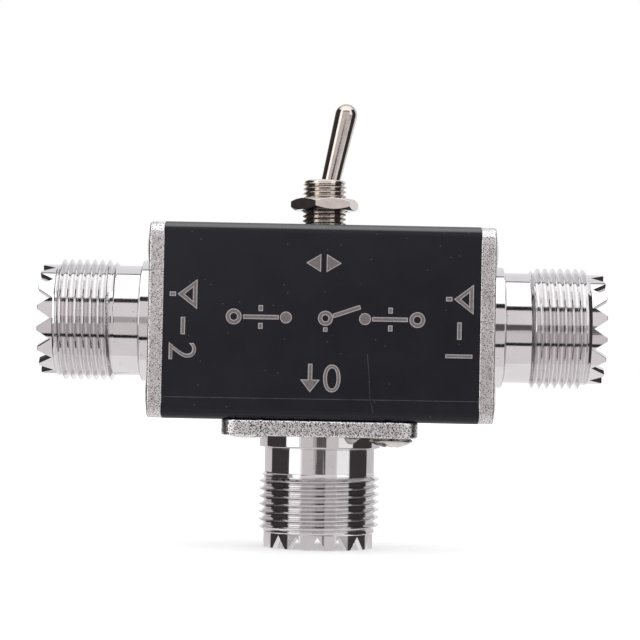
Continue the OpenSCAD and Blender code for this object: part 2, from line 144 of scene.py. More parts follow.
def rough_field(points: np.ndarray, wave: float, seed: int, count: int = 26) -> np.ndarray:
    """A smooth random field of a given wavelength, from -1 to 1 or so.

    The sum of `count` sine waves in random directions, each with a wavelength between 0.7 and
    1.6 times `wave`, divided by the root of half their number.

    Args:
        points: places in mm, the last axis being x, y, z.
        wave: mean wavelength in mm.
        seed: seed of the random directions and phases.
        count: number of waves.

    Returns:
        One value for each point.
    """
    rng = np.random.default_rng(seed)
    way = rng.normal(size=(count, 3))
    way /= np.linalg.norm(way, axis=1, keepdims=True)
    way *= TURN / (wave * rng.uniform(0.7, 1.6, (count, 1)))
    return np.sin(points @ way.T + rng.uniform(0, TURN, count)).sum(-1) / math.sqrt(count / 2)


def braced(profile: Outline, inset: float = 0.03) -> Outline:
    """Put points close to both ends of each long stretch, so that smooth shading stays flat there.

    Args:
        profile: corners of a turned outline in mm, as height and radius.
        inset: distance of the new points from the corners in mm.

    Returns:
        The outline with the points put in.
    """
    dense = [profile[0]]
    for (z0, r0), (z1, r1) in zip(profile, profile[1:]):
        length = math.hypot(z1 - z0, r1 - r0)
        if length > 4 * inset:
            for share in (inset / length, 1 - inset / length):
                dense.append((z0 + (z1 - z0) * share, r0 + (r1 - r0) * share))
        dense.append((z1, r1))
    return dense


def rounded(z: float, r: float, radius: float, steps: int = 4) -> Outline:
    """Points of a quarter circle, by sine and cosine, that rounds the outer edge (z, r), in mm."""
    turns = np.radians(np.linspace(0, 90, steps + 1))
    return [(z - radius + radius * math.sin(t), r - radius + radius * math.cos(t)) for t in turns]


def turned(rows: list[tuple[Any, Any]], angles: np.ndarray) -> np.ndarray:
    """Points of a turned grid: radius times the angle's cosine and sine, and the height.

    Args:
        rows: height and radius of each row in mm, each one number or a value for every column.
        angles: angle of each column.

    Returns:
        Points in mm, by row, column and axis.
    """
    flat = np.zeros(len(angles))
    z = np.array([row[0] + flat for row in rows])
    r = np.array([row[1] + flat for row in rows])
    return np.stack([r * np.cos(angles), r * np.sin(angles), z], -1)


def grid_faces(rows: int, cols: int, loop_rows: bool = False, loop_cols: bool = True) -> np.ndarray:
    """Quads of a grid whose vertex (i, j) has the number i * cols + j.

    Args:
        rows: number of rows.
        cols: number of columns.
        loop_rows: whether the last row joins the first.
        loop_cols: whether the last column joins the first.

    Returns:
        An array of four vertex numbers for each face.
    """
    i = np.arange(rows if loop_rows else rows - 1)
    j = np.arange(cols if loop_cols else cols - 1)
    a, b = (m.ravel() for m in np.meshgrid(i, j, indexing="ij"))
    a2, b2 = (a + 1) % rows, (b + 1) % cols
    return np.stack([a * cols + b, a * cols + b2, a2 * cols + b2, a2 * cols + b], -1)


def finish_mesh(mesh: bpy.types.Mesh, crease: float, merge: float) -> None:
    """Close a mesh's seams and poles, turn its faces outward and shade it.

    Args:
        mesh: the mesh, in metres.
        crease: edges sharper than this many degrees stay crisp.
        merge: vertices closer than this many mm become one.
    """
    work = bmesh.new()
    work.from_mesh(mesh)
    bmesh.ops.remove_doubles(work, verts=work.verts, dist=merge * MM)
    bmesh.ops.dissolve_degenerate(work, edges=work.edges, dist=merge * MM / 4)
    bmesh.ops.recalc_face_normals(work, faces=work.faces)
    work.to_mesh(mesh)
    work.free()
    mesh.shade_smooth()
    mesh.set_sharp_from_angle(angle=math.radians(crease))


def add_object(name: str, data: bpy.types.ID) -> bpy.types.Object:
    """Put a new object into the scene, at the origin.

    Args:
        name: its name.
        data: its mesh, curve or camera.

    Returns:
        The object.
    """
    new = bpy.data.objects.new(name, data)
    bpy.context.scene.collection.objects.link(new)
    return new


def make_piece(name: str, grids: list[tuple[np.ndarray, np.ndarray]], material: bpy.types.Material,
               crease: float, merge: float = 0.002) -> bpy.types.Object:
    """Make one object from grids of points.

    Args:
        name: the piece's name.
        grids: pairs of points in mm and of faces, each a closed shell of its own.
        material: its finish.
        crease: edges sharper than this many degrees stay crisp.
        merge: vertices closer than this many mm become one.

    Returns:
        The object, at the origin, with its place in its mesh.
    """
    points, faces, start = [], [], 0
    for places, quads in grids:
        points.append(places.reshape(-1, 3))
        faces.append(quads + start)
        start += len(points[-1])
    mesh = bpy.data.meshes.new(name)
    mesh.from_pydata((np.concatenate(points) * MM).tolist(), [], np.concatenate(faces).tolist())
    finish_mesh(mesh, crease, merge)
    mesh.materials.append(material)
    return add_object(name, mesh)


def copy_node(name: str, node: str, material: bpy.types.Material, crease: float = 25,
              merge: float = 0.001) -> bpy.types.Object:
    """Make a smooth-shaded piece from a merged copy of a CAD node's mesh.

    Args:
        name: the new piece's name.
        node: the CAD node.
        material: the piece's finish.
        crease: edges sharper than this many degrees stay crisp.
        merge: vertices closer than this many mm become one.

    Returns:
        The new object.
    """
    mesh = frame["nodes"][node].data.copy()
    finish_mesh(mesh, crease, merge)
    mesh.materials.clear()
    mesh.materials.append(material)
    return add_object(name, mesh)


def settle(piece: bpy.types.Object, body: Body, slot: Slot, *nodes: str) -> None:
    """Hang a finished piece on its body, and report it.

    Args:
        piece: the piece.
        body: the body it rides on.
        slot: not used.
        nodes: the CAD nodes that it replaces.
    """
    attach(piece, body.value)
    if nodes:
        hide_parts(*nodes)
    LOG.info("%s: %d faces, rides on %s", piece.name, len(piece.data.polygons), body.value)


def dress(node: str, material: bpy.types.Material) -> None:
    """Give a CAD node that stays a better material in each of its slots, and report it.

    Args:
        node: the CAD node.
        material: its finish.
    """
    for slot in frame["nodes"][node].material_slots:
        slot.material = material
    LOG.info("%s: kept, with %s", node, material.name)


# ---- Finishes ----


def add_node(tree: bpy.types.NodeTree, kind: str, settings: dict[Any, Any] | None = None,
             links: dict[Any, bpy.types.NodeSocket] | None = None) -> bpy.types.Node:
    """Add a shader node, set it up and link its inputs.

    Args:
        tree: the node tree.
        kind: the node's type without the leading ShaderNode.
        settings: properties of the node, or values of its inputs by name or number.
        links: output sockets by the name or number of the input they feed.

    Returns:
        The new node.
    """
    node = tree.nodes.new("ShaderNode" + kind)
    for key, value in (settings or {}).items():
        if isinstance(key, int) or key in node.inputs:
            node.inputs[key].default_value = value
        else:
            setattr(node, key, value)
    for key, source in (links or {}).items():
        tree.links.new(source, node.inputs[key])
    return node


@dataclass(frozen=True)
class Canvas:
    """A material in the making.

    Attributes:
        tree: its nodes.
        at: the place on the object, in mm.
        shader: its surface shader.
    """

    tree: bpy.types.NodeTree
    at: bpy.types.NodeSocket
    shader: bpy.types.Node


@dataclass(frozen=True)
class Finish:
    """A surface with fine grain: two mottled colours, a spread of roughness and a low relief.

    Attributes:
        name: the real finish.
        colour: main colour, sRGB hex.
        shade: the colour it drifts to, sRGB hex.
        roughness: mean roughness.
        spread: how far the roughness drifts to each side.
        mottle: size in mm of the drift in colour and roughness.
        grain: size in mm of the relief.
        relief: height in mm of the relief.
        metallic: 1 for a bare or plated metal, 0 for the rest.
        coat: strength of a clear top layer.
        glass: index of refraction of a surface that is no metal.
        speck: colour of stray specks, sRGB.
        speck_gap: mean distance of the specks in mm, 0 for none.
        speck_r: radius of a speck in mm.
    """

    name: str
    colour: str
    shade: str
    roughness: float
    spread: float
    mottle: float
    grain: float
    relief: float
    metallic: float = 1.0
    coat: float = 0.0
    glass: float = 1.5
    speck: str = "#000000"
    speck_gap: float = 0.0
    speck_r: float = 0.06

    def make(self) -> bpy.types.Material:
        """Build the material: the skin, and the layers of its relief one on top of the other.

        Returns:
            The material.
        """
        material = bpy.data.materials.new(self.name)
        material.use_nodes = True
        tree = material.node_tree
        tree.nodes.clear()
        place = add_node(tree, "TexCoord")
        scaled = add_node(tree, "Mapping", {"Scale": (1 / MM, 1 / MM, 1 / MM)},
                          {"Vector": place.outputs["Object"]})
        shader = add_node(tree, "BsdfPrincipled", {
            "Base Color": srgb(self.colour), "Metallic": self.metallic, "Roughness": self.roughness,
            "Coat Weight": self.coat})
        if not self.metallic:
            shader.inputs["IOR"].default_value = self.glass
        add_node(tree, "OutputMaterial", links={"Surface": shader.outputs["BSDF"]})
        canvas = Canvas(tree, scaled.outputs["Vector"], shader)
        self.skin(canvas)
        links: dict[str, bpy.types.NodeSocket] = {}
        for height, relief in self.heights(canvas):
            links["Height"] = height
            bump = add_node(tree, "Bump", {"Strength": 1.0, "Distance": relief * MM}, links)
            links["Normal"] = bump.outputs["Normal"]
        tree.links.new(links["Normal"], shader.inputs["Normal"])
        return material

    def skin(self, canvas: Canvas) -> None:
        """Let the colour and the roughness drift with one soft noise, and strew specks.

        The colour runs from shade to colour while the noise runs over its middle third, and the
        roughness over its middle half. A speck is the part of a cell that lies closer than
        speck_r to the cell's random middle, with cells speck_gap apart.

        Args:
            canvas: the material in the making.
        """
        tree, at, inputs = canvas.tree, canvas.at, canvas.shader.inputs
        drift = add_node(tree, "TexNoise", {"Scale": 1 / self.mottle, "Detail": 4.0, "Roughness": 0.6},
                         {"Vector": at})
        ramp = add_node(tree, "ValToRGB", links={"Fac": drift.outputs["Fac"]})
        for stop, position, code in zip(ramp.color_ramp.elements, (0.32, 0.68), (self.shade, self.colour)):
            stop.position = position
            stop.color = srgb(code)
        colour = ramp.outputs["Color"]
        if self.speck_gap:
            cell = add_node(tree, "TexVoronoi", {"Scale": 1 / self.speck_gap}, {"Vector": at})
            dot = add_node(tree, "Math", {"operation": "LESS_THAN", 1: self.speck_r / self.speck_gap},
                           {0: cell.outputs["Distance"]})
            strewn = add_node(tree, "MixRGB", {"Color2": srgb(self.speck)},
                              {"Fac": dot.outputs["Value"], "Color1": colour})
            colour = strewn.outputs["Color"]
        tree.links.new(colour, inputs["Base Color"])
        rough = add_node(tree, "MapRange", {
            "From Min": 0.25, "From Max": 0.75, "To Min": self.roughness - self.spread,
            "To Max": self.roughness + self.spread}, {"Value": drift.outputs["Fac"]})
        tree.links.new(rough.outputs["Result"], inputs["Roughness"])

    def heights(self, canvas: Canvas) -> list[tuple[bpy.types.NodeSocket, float]]:
        """Make the relief of one even grain.

        Args:
            canvas: the material in the making.

        Returns:
            The layers of the relief from below: a height from 0 to 1, and what 1 is in mm.
        """
        grain = add_node(canvas.tree, "TexNoise", {"Scale": 1 / self.grain, "Detail": 3.0},
                         {"Vector": canvas.at})
        return [(grain.outputs["Fac"], self.relief)]


@dataclass(frozen=True)
class TurnedFinish(Finish):
    """A finish on a lathe-turned piece: fine rings round its axis under the plating.

    Attributes:
        axis: the axis of the lathe.
        ring: spacing of the rings in mm, drawn as coarse as it needs to show.
        run: how far a ring runs unbroken in mm.
    """

    axis: Axis = Axis.Z
    ring: float = 0.12
    run: float = 20.0

    def heights(self, canvas: Canvas) -> list[tuple[bpy.types.NodeSocket, float]]:
        """Make the relief of rings, a noise squeezed along the axis, and faint dings over them.

        Args:
            canvas: the material in the making.

        Returns:
            The layers of the relief from below: a height from 0 to 1, and what 1 is in mm.
        """
        tree, at = canvas.tree, canvas.at
        turn = Vector(Axis.Z.value).rotation_difference(Vector(self.axis.value)).inverted().to_euler()
        upright = add_node(tree, "Mapping", {"vector_type": "POINT", "Rotation": tuple(turn)}, {"Vector": at})
        squeezed = add_node(tree, "Mapping", {"Scale": (1 / self.run, 1 / self.run, 1 / self.ring)},
                            {"Vector": upright.outputs["Vector"]})
        rings = add_node(tree, "TexNoise", {"Scale": 1.0, "Detail": 2.0},
                         {"Vector": squeezed.outputs["Vector"]})
        dings = add_node(tree, "TexNoise", {"Scale": 1 / self.grain, "Detail": 2.0}, {"Vector": at})
        return [(rings.outputs["Fac"], self.relief), (dings.outputs["Fac"], self.relief)]


@dataclass(frozen=True)
class RubbedFinish(Finish):
    """A finish on the square tube, rubbed to a harder gloss along its two upper edges.

    Attributes:
        edge_r: width of the rubbed edges in mm.
        edge_glass: index of refraction that gives the rubbed edges their gloss.
    """

    edge_r: float = 0.8
    edge_glass: float = 2.0

    def skin(self, canvas: Canvas) -> None:
        """Add to the plain skin the gloss of the rubbed edges.

        The gloss is the product of two ramps, one over |y| and one over z, that both rise at
        edge_r from the tube's corner.

        Args:
            canvas: the material in the making.
        """
        super().skin(canvas)
        tree = canvas.tree
        apart = add_node(tree, "SeparateXYZ", links={"Vector": canvas.at})
        width = add_node(tree, "Math", {"operation": "ABSOLUTE"}, {0: apart.outputs["Y"]})
        near = []
        for value, middle in ((width.outputs["Value"], 0.0), (apart.outputs["Z"], MIDDLE_Z)):
            start = middle + CASE_HALF - self.edge_r
            rise = add_node(tree, "MapRange", {"From Min": start, "From Max": start + self.edge_r / 4},
                            {"Value": value})
            near.append(rise.outputs["Result"])
        both = add_node(tree, "Math", {"operation": "MULTIPLY"}, {0: near[0], 1: near[1]})
        gloss = add_node(tree, "MapRange", {"To Min": self.glass, "To Max": self.edge_glass},
                         {"Value": both.outputs["Value"]})
        tree.links.new(gloss.outputs["Result"], canvas.shader.inputs["IOR"])


@dataclass(frozen=True)
class CastFinish(Finish):
    """Plating over a sand-cast face: a coarse grain with dark pits between its bumps.

    Attributes:
        pit: colour of the pits, sRGB.
        pit_size: size of the pits in mm.
        pit_depth: depth of the pits in mm.
    """

    pit: str = "#4a4643"
    pit_size: float = 0.3
    pit_depth: float = 0.03

    def heights(self, canvas: Canvas) -> list[tuple[bpy.types.NodeSocket, float]]:
        """Make the relief of pits, which are dark where their noise is low, and a soft grain.

        Args:
            canvas: the material in the making.

        Returns:
            The layers of the relief from below: a height from 0 to 1, and what 1 is in mm.
        """
        tree, at, base = canvas.tree, canvas.at, canvas.shader.inputs["Base Color"]
        pits = add_node(tree, "TexNoise", {"Scale": 1 / self.pit_size, "Detail": 2.0, "Roughness": 0.6},
                        {"Vector": at})
        mask = add_node(tree, "ValToRGB", links={"Fac": pits.outputs["Fac"]})
        for stop, position, colour in zip(mask.color_ramp.elements, (0.38, 0.43), (WHITE, BLACK)):
            stop.position = position
            stop.color = colour
        mixed = add_node(tree, "MixRGB", {"Color2": srgb(self.pit)},
                         {"Fac": mask.outputs["Color"], "Color1": base.links[0].from_socket})
        tree.links.new(mixed.outputs["Color"], base)
        grain = add_node(tree, "TexNoise", {"Scale": 1 / self.grain, "Detail": 1.0}, {"Vector": at})
        return [(pits.outputs["Fac"], self.pit_depth), (grain.outputs["Fac"], self.relief)]


@dataclass(frozen=True)
class FloorFinish(Finish):
    """A studio floor, lit a little from within so that it comes out white.

    Attributes:
        glow: strength of its own light.
    """

    glow: float = 0.35

    def skin(self, canvas: Canvas) -> None:
        """Add the floor's own light to the plain skin.

        Args:
            canvas: the material in the making.
        """
        super().skin(canvas)
        canvas.shader.inputs["Emission Color"].default_value = WHITE
        canvas.shader.inputs["Emission Strength"].default_value = self.glow


# Matt white board, wide enough that its edge is out of sight.
FLOOR = FloorFinish("white floor", "#ffffff", "#fbfbfb", 0.8, 0.02, 60.0, 1.0, 0.001, metallic=0.0)
NICKEL_X = TurnedFinish("bright nickel on brass, turned about X", "#e4e2e3", "#dcdadb", 0.08, 0.02, 4.0, 1.2,
                        0.0008, speck="#57504f", speck_gap=1.1, axis=Axis.X)


class Skin(Enum):
    """The part's finishes: name, two colours, roughness, its spread, then mottle, grain, relief."""

    # Satin black anodised aluminium: etched before it was dyed, so it has a fine even tooth that
    # breaks up every reflection, and looks charcoal where the light strikes it.
    ANODISED = RubbedFinish("black anodised aluminium", "#0d0e1b", "#0a0b16", 0.30, 0.03, 6.0, 0.2, 0.005,
                            metallic=0.0, glass=1.42, speck="#4c4a50", speck_gap=1.3, speck_r=0.07)
    # Laser marking on anodised aluminium: the dye is burnt off, and the bare oxide under it
    # scatters light as a matt warm grey with a faint grain of overlapping passes.
    MARK_FIELD = Finish("laser-marked anodising", "#6a6262", "#5b5353", 0.6, 0.08, 0.5, 0.15, 0.01,
                        metallic=0.0)
    # The rim of a laser mark: the beam dwells where it turns, so the outline comes out lighter.
    MARK_RIM = Finish("laser-marked anodising, outline", "#a09999", "#8d8686", 0.55, 0.08, 0.4, 0.15, 0.01,
                      metallic=0.0)
    # A scratch in anodising: the dye layer is only bruised, so it shows as a faint grey line.
    BRUISE = Finish("bruised anodising", "#4a474c", "#2c2a2e", 0.5, 0.08, 1.5, 0.15, 0.004, metallic=0.0)
    # Bright nickel plate on turned brass: close to a mirror, with a breath of lathe rings.
    TURNED_X = NICKEL_X
    TURNED_Z = replace(NICKEL_X, name="bright nickel on brass, turned about Z", axis=Axis.Z)
    # Nickel plate over the sand-cast flange: silvery crumbs with dark pits, never polished.
    CAST = CastFinish("nickel on sand-cast brass", "#f0eeee", "#e6e4e4", 0.34, 0.05, 1.2, 0.16, 0.004,
                      speck="#3c393a", speck_gap=0.23, speck_r=0.054,
                      pit="#575254", pit_size=0.15, pit_depth=0.003)
    # The lower flange's copy of the cast nickel: its lighter colour is painted light, standing in for the
    # brighter light that falls on that flange. It is also a little glossier, with deeper dark crumbs.
    CAST_PAINTED_LIGHT = CastFinish("nickel on tumbled sand-cast brass", "#ffffff", "#f4f2f2", 0.32, 0.08, 0.4, 0.18,
                          0.006, speck="#1c1a1b", speck_gap=0.21, speck_r=0.073,
                          pit="#2f2c2d", pit_size=0.18, pit_depth=0.008)
    # Nickel plate on the toggle's bushing and nut: a thin barrel plating, warmer than the sockets'.
    TOGGLE = TurnedFinish("barrel-plated nickel", "#dcd4ce", "#cbc2bb", 0.13, 0.05, 1.2, 0.3, 0.0022)
    # The lever was tumbled longest: the same warm plate, smoother, with soft dings all over.
    LEVER = TurnedFinish("tumbled nickel on the lever", "#d2cac4", "#c2bab3", 0.09, 0.04, 1.2, 0.35, 0.0022,
                         axis=Axis.LEVER)
    # Nickel-plated steel screws: tumbled, with softened edges and small dings.
    SCREW = Finish("nickel-plated steel", "#dad7d3", "#c6c2bd", 0.16, 0.06, 1.5, 0.5, 0.004)
    # Turned PTFE: waxy white, soft to the tool, so its face is even and half matt.
    PTFE = Finish("turned PTFE", "#f1efe9", "#e9e6de", 0.45, 0.05, 4.0, 0.25, 0.004, metallic=0.0,
                  glass=1.35)
    # Silver plate: soft white metal that tarnishes yellow-grey in patches.
    SILVER = Finish("silver plate", "#e6e2da", "#c9bfae", 0.2, 0.07, 1.5, 0.3, 0.002)
    # Plain spring steel: rolled, grey, slightly oiled.
    STEEL = Finish("rolled spring steel", "#a8a9ab", "#8f9194", 0.3, 0.08, 2.0, 0.2, 0.003)
    # Blue phenolic moulding: hard, glossy skin with flow marks.
    PHENOLIC = Finish("blue phenolic moulding", "#27408f", "#1f3478", 0.3, 0.06, 4.0, 0.3, 0.004,
                      metallic=0.0, coat=0.1, glass=1.6)
    # Natural nylon: milky and slightly yellow.
    NYLON = Finish("natural nylon", "#efe9d8", "#e4dcc6", 0.4, 0.05, 1.0, 0.2, 0.002, metallic=0.0,
                   glass=1.53)
    # Bare copper wire: drawn, with brown oxide in patches.
    COPPER = Finish("bare drawn copper", "#c9784a", "#8f4f30", 0.25, 0.08, 1.0, 0.15, 0.003)


Finishes = dict[Skin, bpy.types.Material]


# ---- Sockets ----


@dataclass(frozen=True)
class SocketPlan:
    """Where a socket sits, and in what it differs from the others.

    Attributes:
        stem: the start of its node names.
        matrix: takes its own frame to the part's, in mm. Its own z runs outward from the back of
            its flange.
        turned: the finish of its barrel.
        cast: the finish of its flange.
        thread_z: height at which its thread starts in mm.
        start_turn: how far round its first crest starts, in turns.
        seed: seed of its casting's roughness.
        screw_l: length of its screws in mm.
        proud: the number of its screw that stands proud, or -1.
    """

    stem: str
    matrix: tuple[tuple[float, ...], ...]
    turned: Skin
    cast: Skin
    thread_z: float
    start_turn: float
    seed: int
    screw_l: float
    proud: int = -1

    def place(self, points: np.ndarray) -> np.ndarray:
        """Carry points from the socket's own frame to the part's."""
        matrix = np.array(self.matrix, float)
        return points @ matrix[:, :3].T + matrix[:, 3]


class Socket(Enum):
    """The three sockets. The front right screw under the case stands proud of its seat."""

    ANT1 = SocketPlan("ant1", ((0, 0, 1, CASE_END), (0, 1, 0, 0), (-1, 0, 0, MIDDLE_Z)),
                      Skin.TURNED_X, Skin.CAST, 6.95, -0.03, 3, 8.0)
    ANT2 = SocketPlan("ant2", ((0, 0, -1, -CASE_END), (0, 1, 0, 0), (1, 0, 0, MIDDLE_Z)),
                      Skin.TURNED_X, Skin.CAST, 6.85, 0.55, 41, 8.0)
    # The lower flange takes the copy of the cast nickel that is painted lighter.
    TX = SocketPlan("tx", ((1, 0, 0, 0), (0, -1, 0, 0), (0, 0, -1, UNDERSIDE_Z)),
                    Skin.TURNED_Z, Skin.CAST_PAINTED_LIGHT, 6.95, 0.0, 87, 6.0, 3)


@dataclass
class SocketBarrel:
    """The turned barrel of a socket: collar, neck, threaded length, toothed rim, cup and lip.

    Heights (_z), radii (_r) and the other lengths are in mm, in the socket's own frame.
    """

    plan: SocketPlan
    # The foot in the flange, the collar with its bevel, and the neck with a groove at its root
    foot_z: float = 1.0
    foot_cut: float = 0.5
    foot_h: float = 0.7
    collar_r: float = 7.98
    collar_z: float = 3.7
    bevel: float = 0.2
    neck_r: float = 7.25
    groove: float = 0.06
    groove_w: float = 0.1
    # The thread, and how softly it starts: over so many turns, and over so many mm of the neck
    crest_r: float = 7.975
    root_r: float = 7.28
    pitch: float = 1.0
    fade_turns: float = 0.7
    fade_l: float = 0.3
    # The plain rim and its teeth
    plain_z: float = 14.85
    rim_r: float = 7.215
    rim_z: float = 16.8
    edge: float = 0.07
    teeth: int = 16
    tooth_h: float = 1.7
    notch_half: float = 1.15
    # The cup, and the boss behind it with its bore and rolled lip
    cup_r: float = 6.1
    floor_z: float = 8.8
    chamfer: float = 0.15
    bore_r: float = 5.26
    lip_r: float = 5.15
    lip_h: float = 0.4
    boss_r: float = 6.0
    boss_z: float = -2.0
    # Distance between two rows that keep a face flat up to its edge
    tight: float = 0.02
    # The thread's profile: places in turns from a crest, and the share of the full depth there
    phases: tuple[float, ...] = (0.0, 0.03, 0.055, 0.08, 0.395, 0.42, 0.445, 0.475, 0.525, 0.555, 0.58, 0.605,
                                 0.92, 0.945, 0.97)
    heights: tuple[float, ...] = (1.0, 0.995, 0.97, 0.906, 0.094, 0.03, 0.005, 0.0, 0.0, 0.005, 0.03, 0.094,
                                  0.906, 0.97, 0.995)

    def columns(self) -> tuple[np.ndarray, np.ndarray, np.ndarray]:
        """Angles of the grid's columns outside and inside the rim, and the rim's drop at each.

        Across a notch the columns keep the same sideways distance inside and outside, so its
        flanks are flat. The drop is tooth_h * (1 - |x| / notch_half), and 0 on a tooth's land.

        Returns:
            The angles outside, the angles inside, and the drop in mm.
        """
        x = np.linspace(-self.notch_half, self.notch_half, 9)
        drop = np.append(self.tooth_h * (1 - np.abs(x) / self.notch_half), [0, 0])
        half = np.pi / self.teeth
        middle = np.pi / 2 + np.arange(self.teeth)[:, None] * 2 * half
        turns = []
        for radius in (self.rim_r, self.cup_r):
            notch = np.arcsin(x / radius)
            land = np.linspace(notch[-1], 2 * half - notch[-1], 4)[1:-1]
            turn = (middle + np.concatenate([notch, land])).ravel()
            turns.append(np.append(turn, turn[0] + TURN))
        return turns[0], turns[1], np.append(np.tile(drop, self.teeth), drop[0])

    def thread(self, angle: np.ndarray) -> Outline:
        """Rows of the thread, which climb one pitch in a turn.

        Row s lies at z = start + (s + angle / turn) * pitch, held between the thread's ends. The
        radius is root + depth * profile(s) * fade, where fade grows over most of the first pitch.
        It blends in from the neck, and keeps inside a 45 degree chamfer at the front end.

        Args:
            angle: angle of each column.

        Returns:
            Height and radius of each row, with a value for every column.
        """
        start = self.plan.thread_z
        turns = math.ceil((self.plain_z - start) / self.pitch) + 2
        s = (np.arange(-1, turns)[:, None] + np.array(self.phases)).ravel() + self.plan.start_turn
        climb = (angle - angle[0]) / TURN
        z = np.clip(start + (s[:, None] + climb) * self.pitch, start, self.plain_z)
        fade = smooth_step((z - start) / (self.fade_turns * self.pitch))
        r = self.root_r + (self.crest_r - self.root_r) * np.tile(self.heights, turns + 1)[:, None] * fade
        r = self.neck_r + (r - self.neck_r) * smooth_step((z - start) / self.fade_l)
        return list(zip(z, np.minimum(r, self.rim_r + (self.plain_z - z))))

    def build(self, material: bpy.types.Material) -> bpy.types.Object:
        """Build the barrel as one closed grid: out along the profile, over the rim, back inside.

        Args:
            material: its finish.

        Returns:
            The piece.
        """
        outer, inner, drop = self.columns()
        top = self.rim_z - drop
        wall_z = self.plain_z + 0.1
        wall = [wall_z + (top - self.edge - wall_z) * share for share in (0.04, 0.5, 0.96, 1.0)]
        groove_r, groove_end = self.neck_r - self.groove, self.collar_z + self.groove_w
        outside = [(self.foot_z, self.collar_r - self.foot_cut), (self.foot_z + self.foot_h, self.collar_r)]
        outside += rounded(self.collar_z, self.collar_r, self.bevel)
        outside += [(self.collar_z, groove_r), (groove_end, groove_r),
                    (groove_end + 2 * self.tight, self.neck_r),
                    (self.plan.thread_z - self.tight, self.neck_r)]
        rows = braced(outside) + self.thread(outer)
        rows += [(z, self.rim_r) for z in [self.plain_z + self.tight, wall_z] + wall]
        rows += [(top, self.rim_r - self.edge)]
        inside = [(wall_z, self.cup_r), (self.floor_z + self.chamfer, self.cup_r),
                  (self.floor_z, self.cup_r - self.chamfer), (self.floor_z, self.bore_r),
                  (self.boss_z + self.lip_h, self.bore_r), (self.boss_z, self.lip_r),
                  (self.boss_z, self.boss_r - self.chamfer), (self.boss_z + self.chamfer, self.boss_r),
                  (self.foot_z, self.boss_r)]
        back = [(top, self.cup_r + self.edge)] + [(z, self.cup_r) for z in wall[::-1]] + braced(inside)
        points = self.plan.place(np.concatenate([turned(rows, outer), turned(back, inner)]))
        faces = grid_faces(len(points), len(outer), loop_rows=True, loop_cols=False)
        return make_piece(f"{self.plan.stem}_barrel", [(points, faces)], material, 40)


@dataclass
class SocketFlange:
    """The square cast flange of a socket, with its rough edge and its four screw seats."""

    plan: SocketPlan
    # The plate: its corners and hole, the screw seats, and the rounding of its front and back
    corner: float = 2.0
    hole_r: float = 7.0
    seat_r: float = 2.95
    seat_depth: float = 0.5
    seat_run: float = 0.25
    round_out: float = 0.3
    round_back: float = 0.12
    # The grid: distance of its columns, and the rows across the front, round its edge and down
    # the side
    step: float = 0.15
    face_rows: int = 38
    edge_rows: int = 5
    wall_rows: int = 13
    # The casting's roughness: wavelength and share of its crumbs and of its swells, its depth in
    # the front and in the side, and how far the side lies in for it
    crumb: float = 0.42
    crumb_share: float = 0.4
    swell: float = 1.5
    swell_share: float = 0.25
    face_pit: float = 0.03
    wall_pit: float = 0.012
    wall_in: float = 0.015

    def perimeter(self) -> tuple[np.ndarray, np.ndarray]:
        """Walk round the rounded square: straight sides, and quarter circles at its corners.

        Returns:
            Evenly spaced points in mm, and the outward direction at each.
        """
        flat = CASE_HALF - self.corner
        side = 2 * flat
        stretch = side + self.corner * np.pi / 2
        s = np.linspace(0, 4 * stretch, int(4 * stretch / self.step), endpoint=False)
        quarter = np.floor(s / stretch)
        t = s - quarter * stretch
        turn = np.where(t > side, (t - side) / self.corner, 0.0)
        x = flat + self.corner * np.cos(turn)
        y = np.where(t > side, flat + self.corner * np.sin(turn), t - flat)
        cos, sin = np.cos(quarter * np.pi / 2), np.sin(quarter * np.pi / 2)
        edge, out = (np.stack([u * cos - v * sin, u * sin + v * cos], -1)
                     for u, v in ((x, y), (np.cos(turn), np.sin(turn))))
        return edge, out

    def build(self, material: bpy.types.Material) -> bpy.types.Object:
        """Build the flange as one closed grid whose columns go round and whose rows go over it.

        The rows run from the hole out across the front, round the rounded edge, down the side,
        round the back edge and in across the back. A random field roughens all but the back.

        Args:
            material: its finish.

        Returns:
            The piece.
        """
        edge, out = self.perimeter()
        angle = np.arctan2(edge[:, 1], edge[:, 0])
        hole = self.hole_r * np.stack([np.cos(angle), np.sin(angle)], -1)
        inset = self.round_out
        rows = [(hole + (edge - out * inset - hole) * share, FLANGE_T)
                for share in np.linspace(0, 1, self.face_rows)]
        rows += [(edge - out * inset * (1 - np.sin(turn)), FLANGE_T - inset * (1 - np.cos(turn)))
                 for turn in np.linspace(0, np.pi / 2, self.edge_rows)[1:]]
        rows += [(edge, z) for z in np.linspace(FLANGE_T - inset, self.round_back, self.wall_rows)[1:]]
        rows += [(edge - out * self.round_back, 0.0), (hole, 0.0)]
        points = np.array([np.column_stack([flat, np.full(len(flat), z)]) for flat, z in rows])
        place = self.plan.place(points)
        rough = rough_field(place, self.crumb, self.plan.seed) * self.crumb_share
        rough += rough_field(place, self.swell, self.plan.seed + 9) * self.swell_share
        face = points[..., 2] > FLANGE_T - 0.01
        wall = slice(self.face_rows, -2)
        points[wall, :, :2] += out * (self.wall_pit * rough - self.wall_in)[wall, :, None]
        apart = np.min([np.hypot(points[..., 0] - x, points[..., 1] - y) for x, y in PORTS], axis=0)
        seat = smooth_step((self.seat_r + 0.1 - apart) / self.seat_run) * self.seat_depth
        points[..., 2] += np.where(face, self.face_pit * np.minimum(rough, 0) - seat, 0.0)
        faces = grid_faces(len(points), points.shape[1], loop_rows=True)
        return make_piece(f"{self.plan.stem}_flange", [(self.plan.place(points), faces)], material, 50)


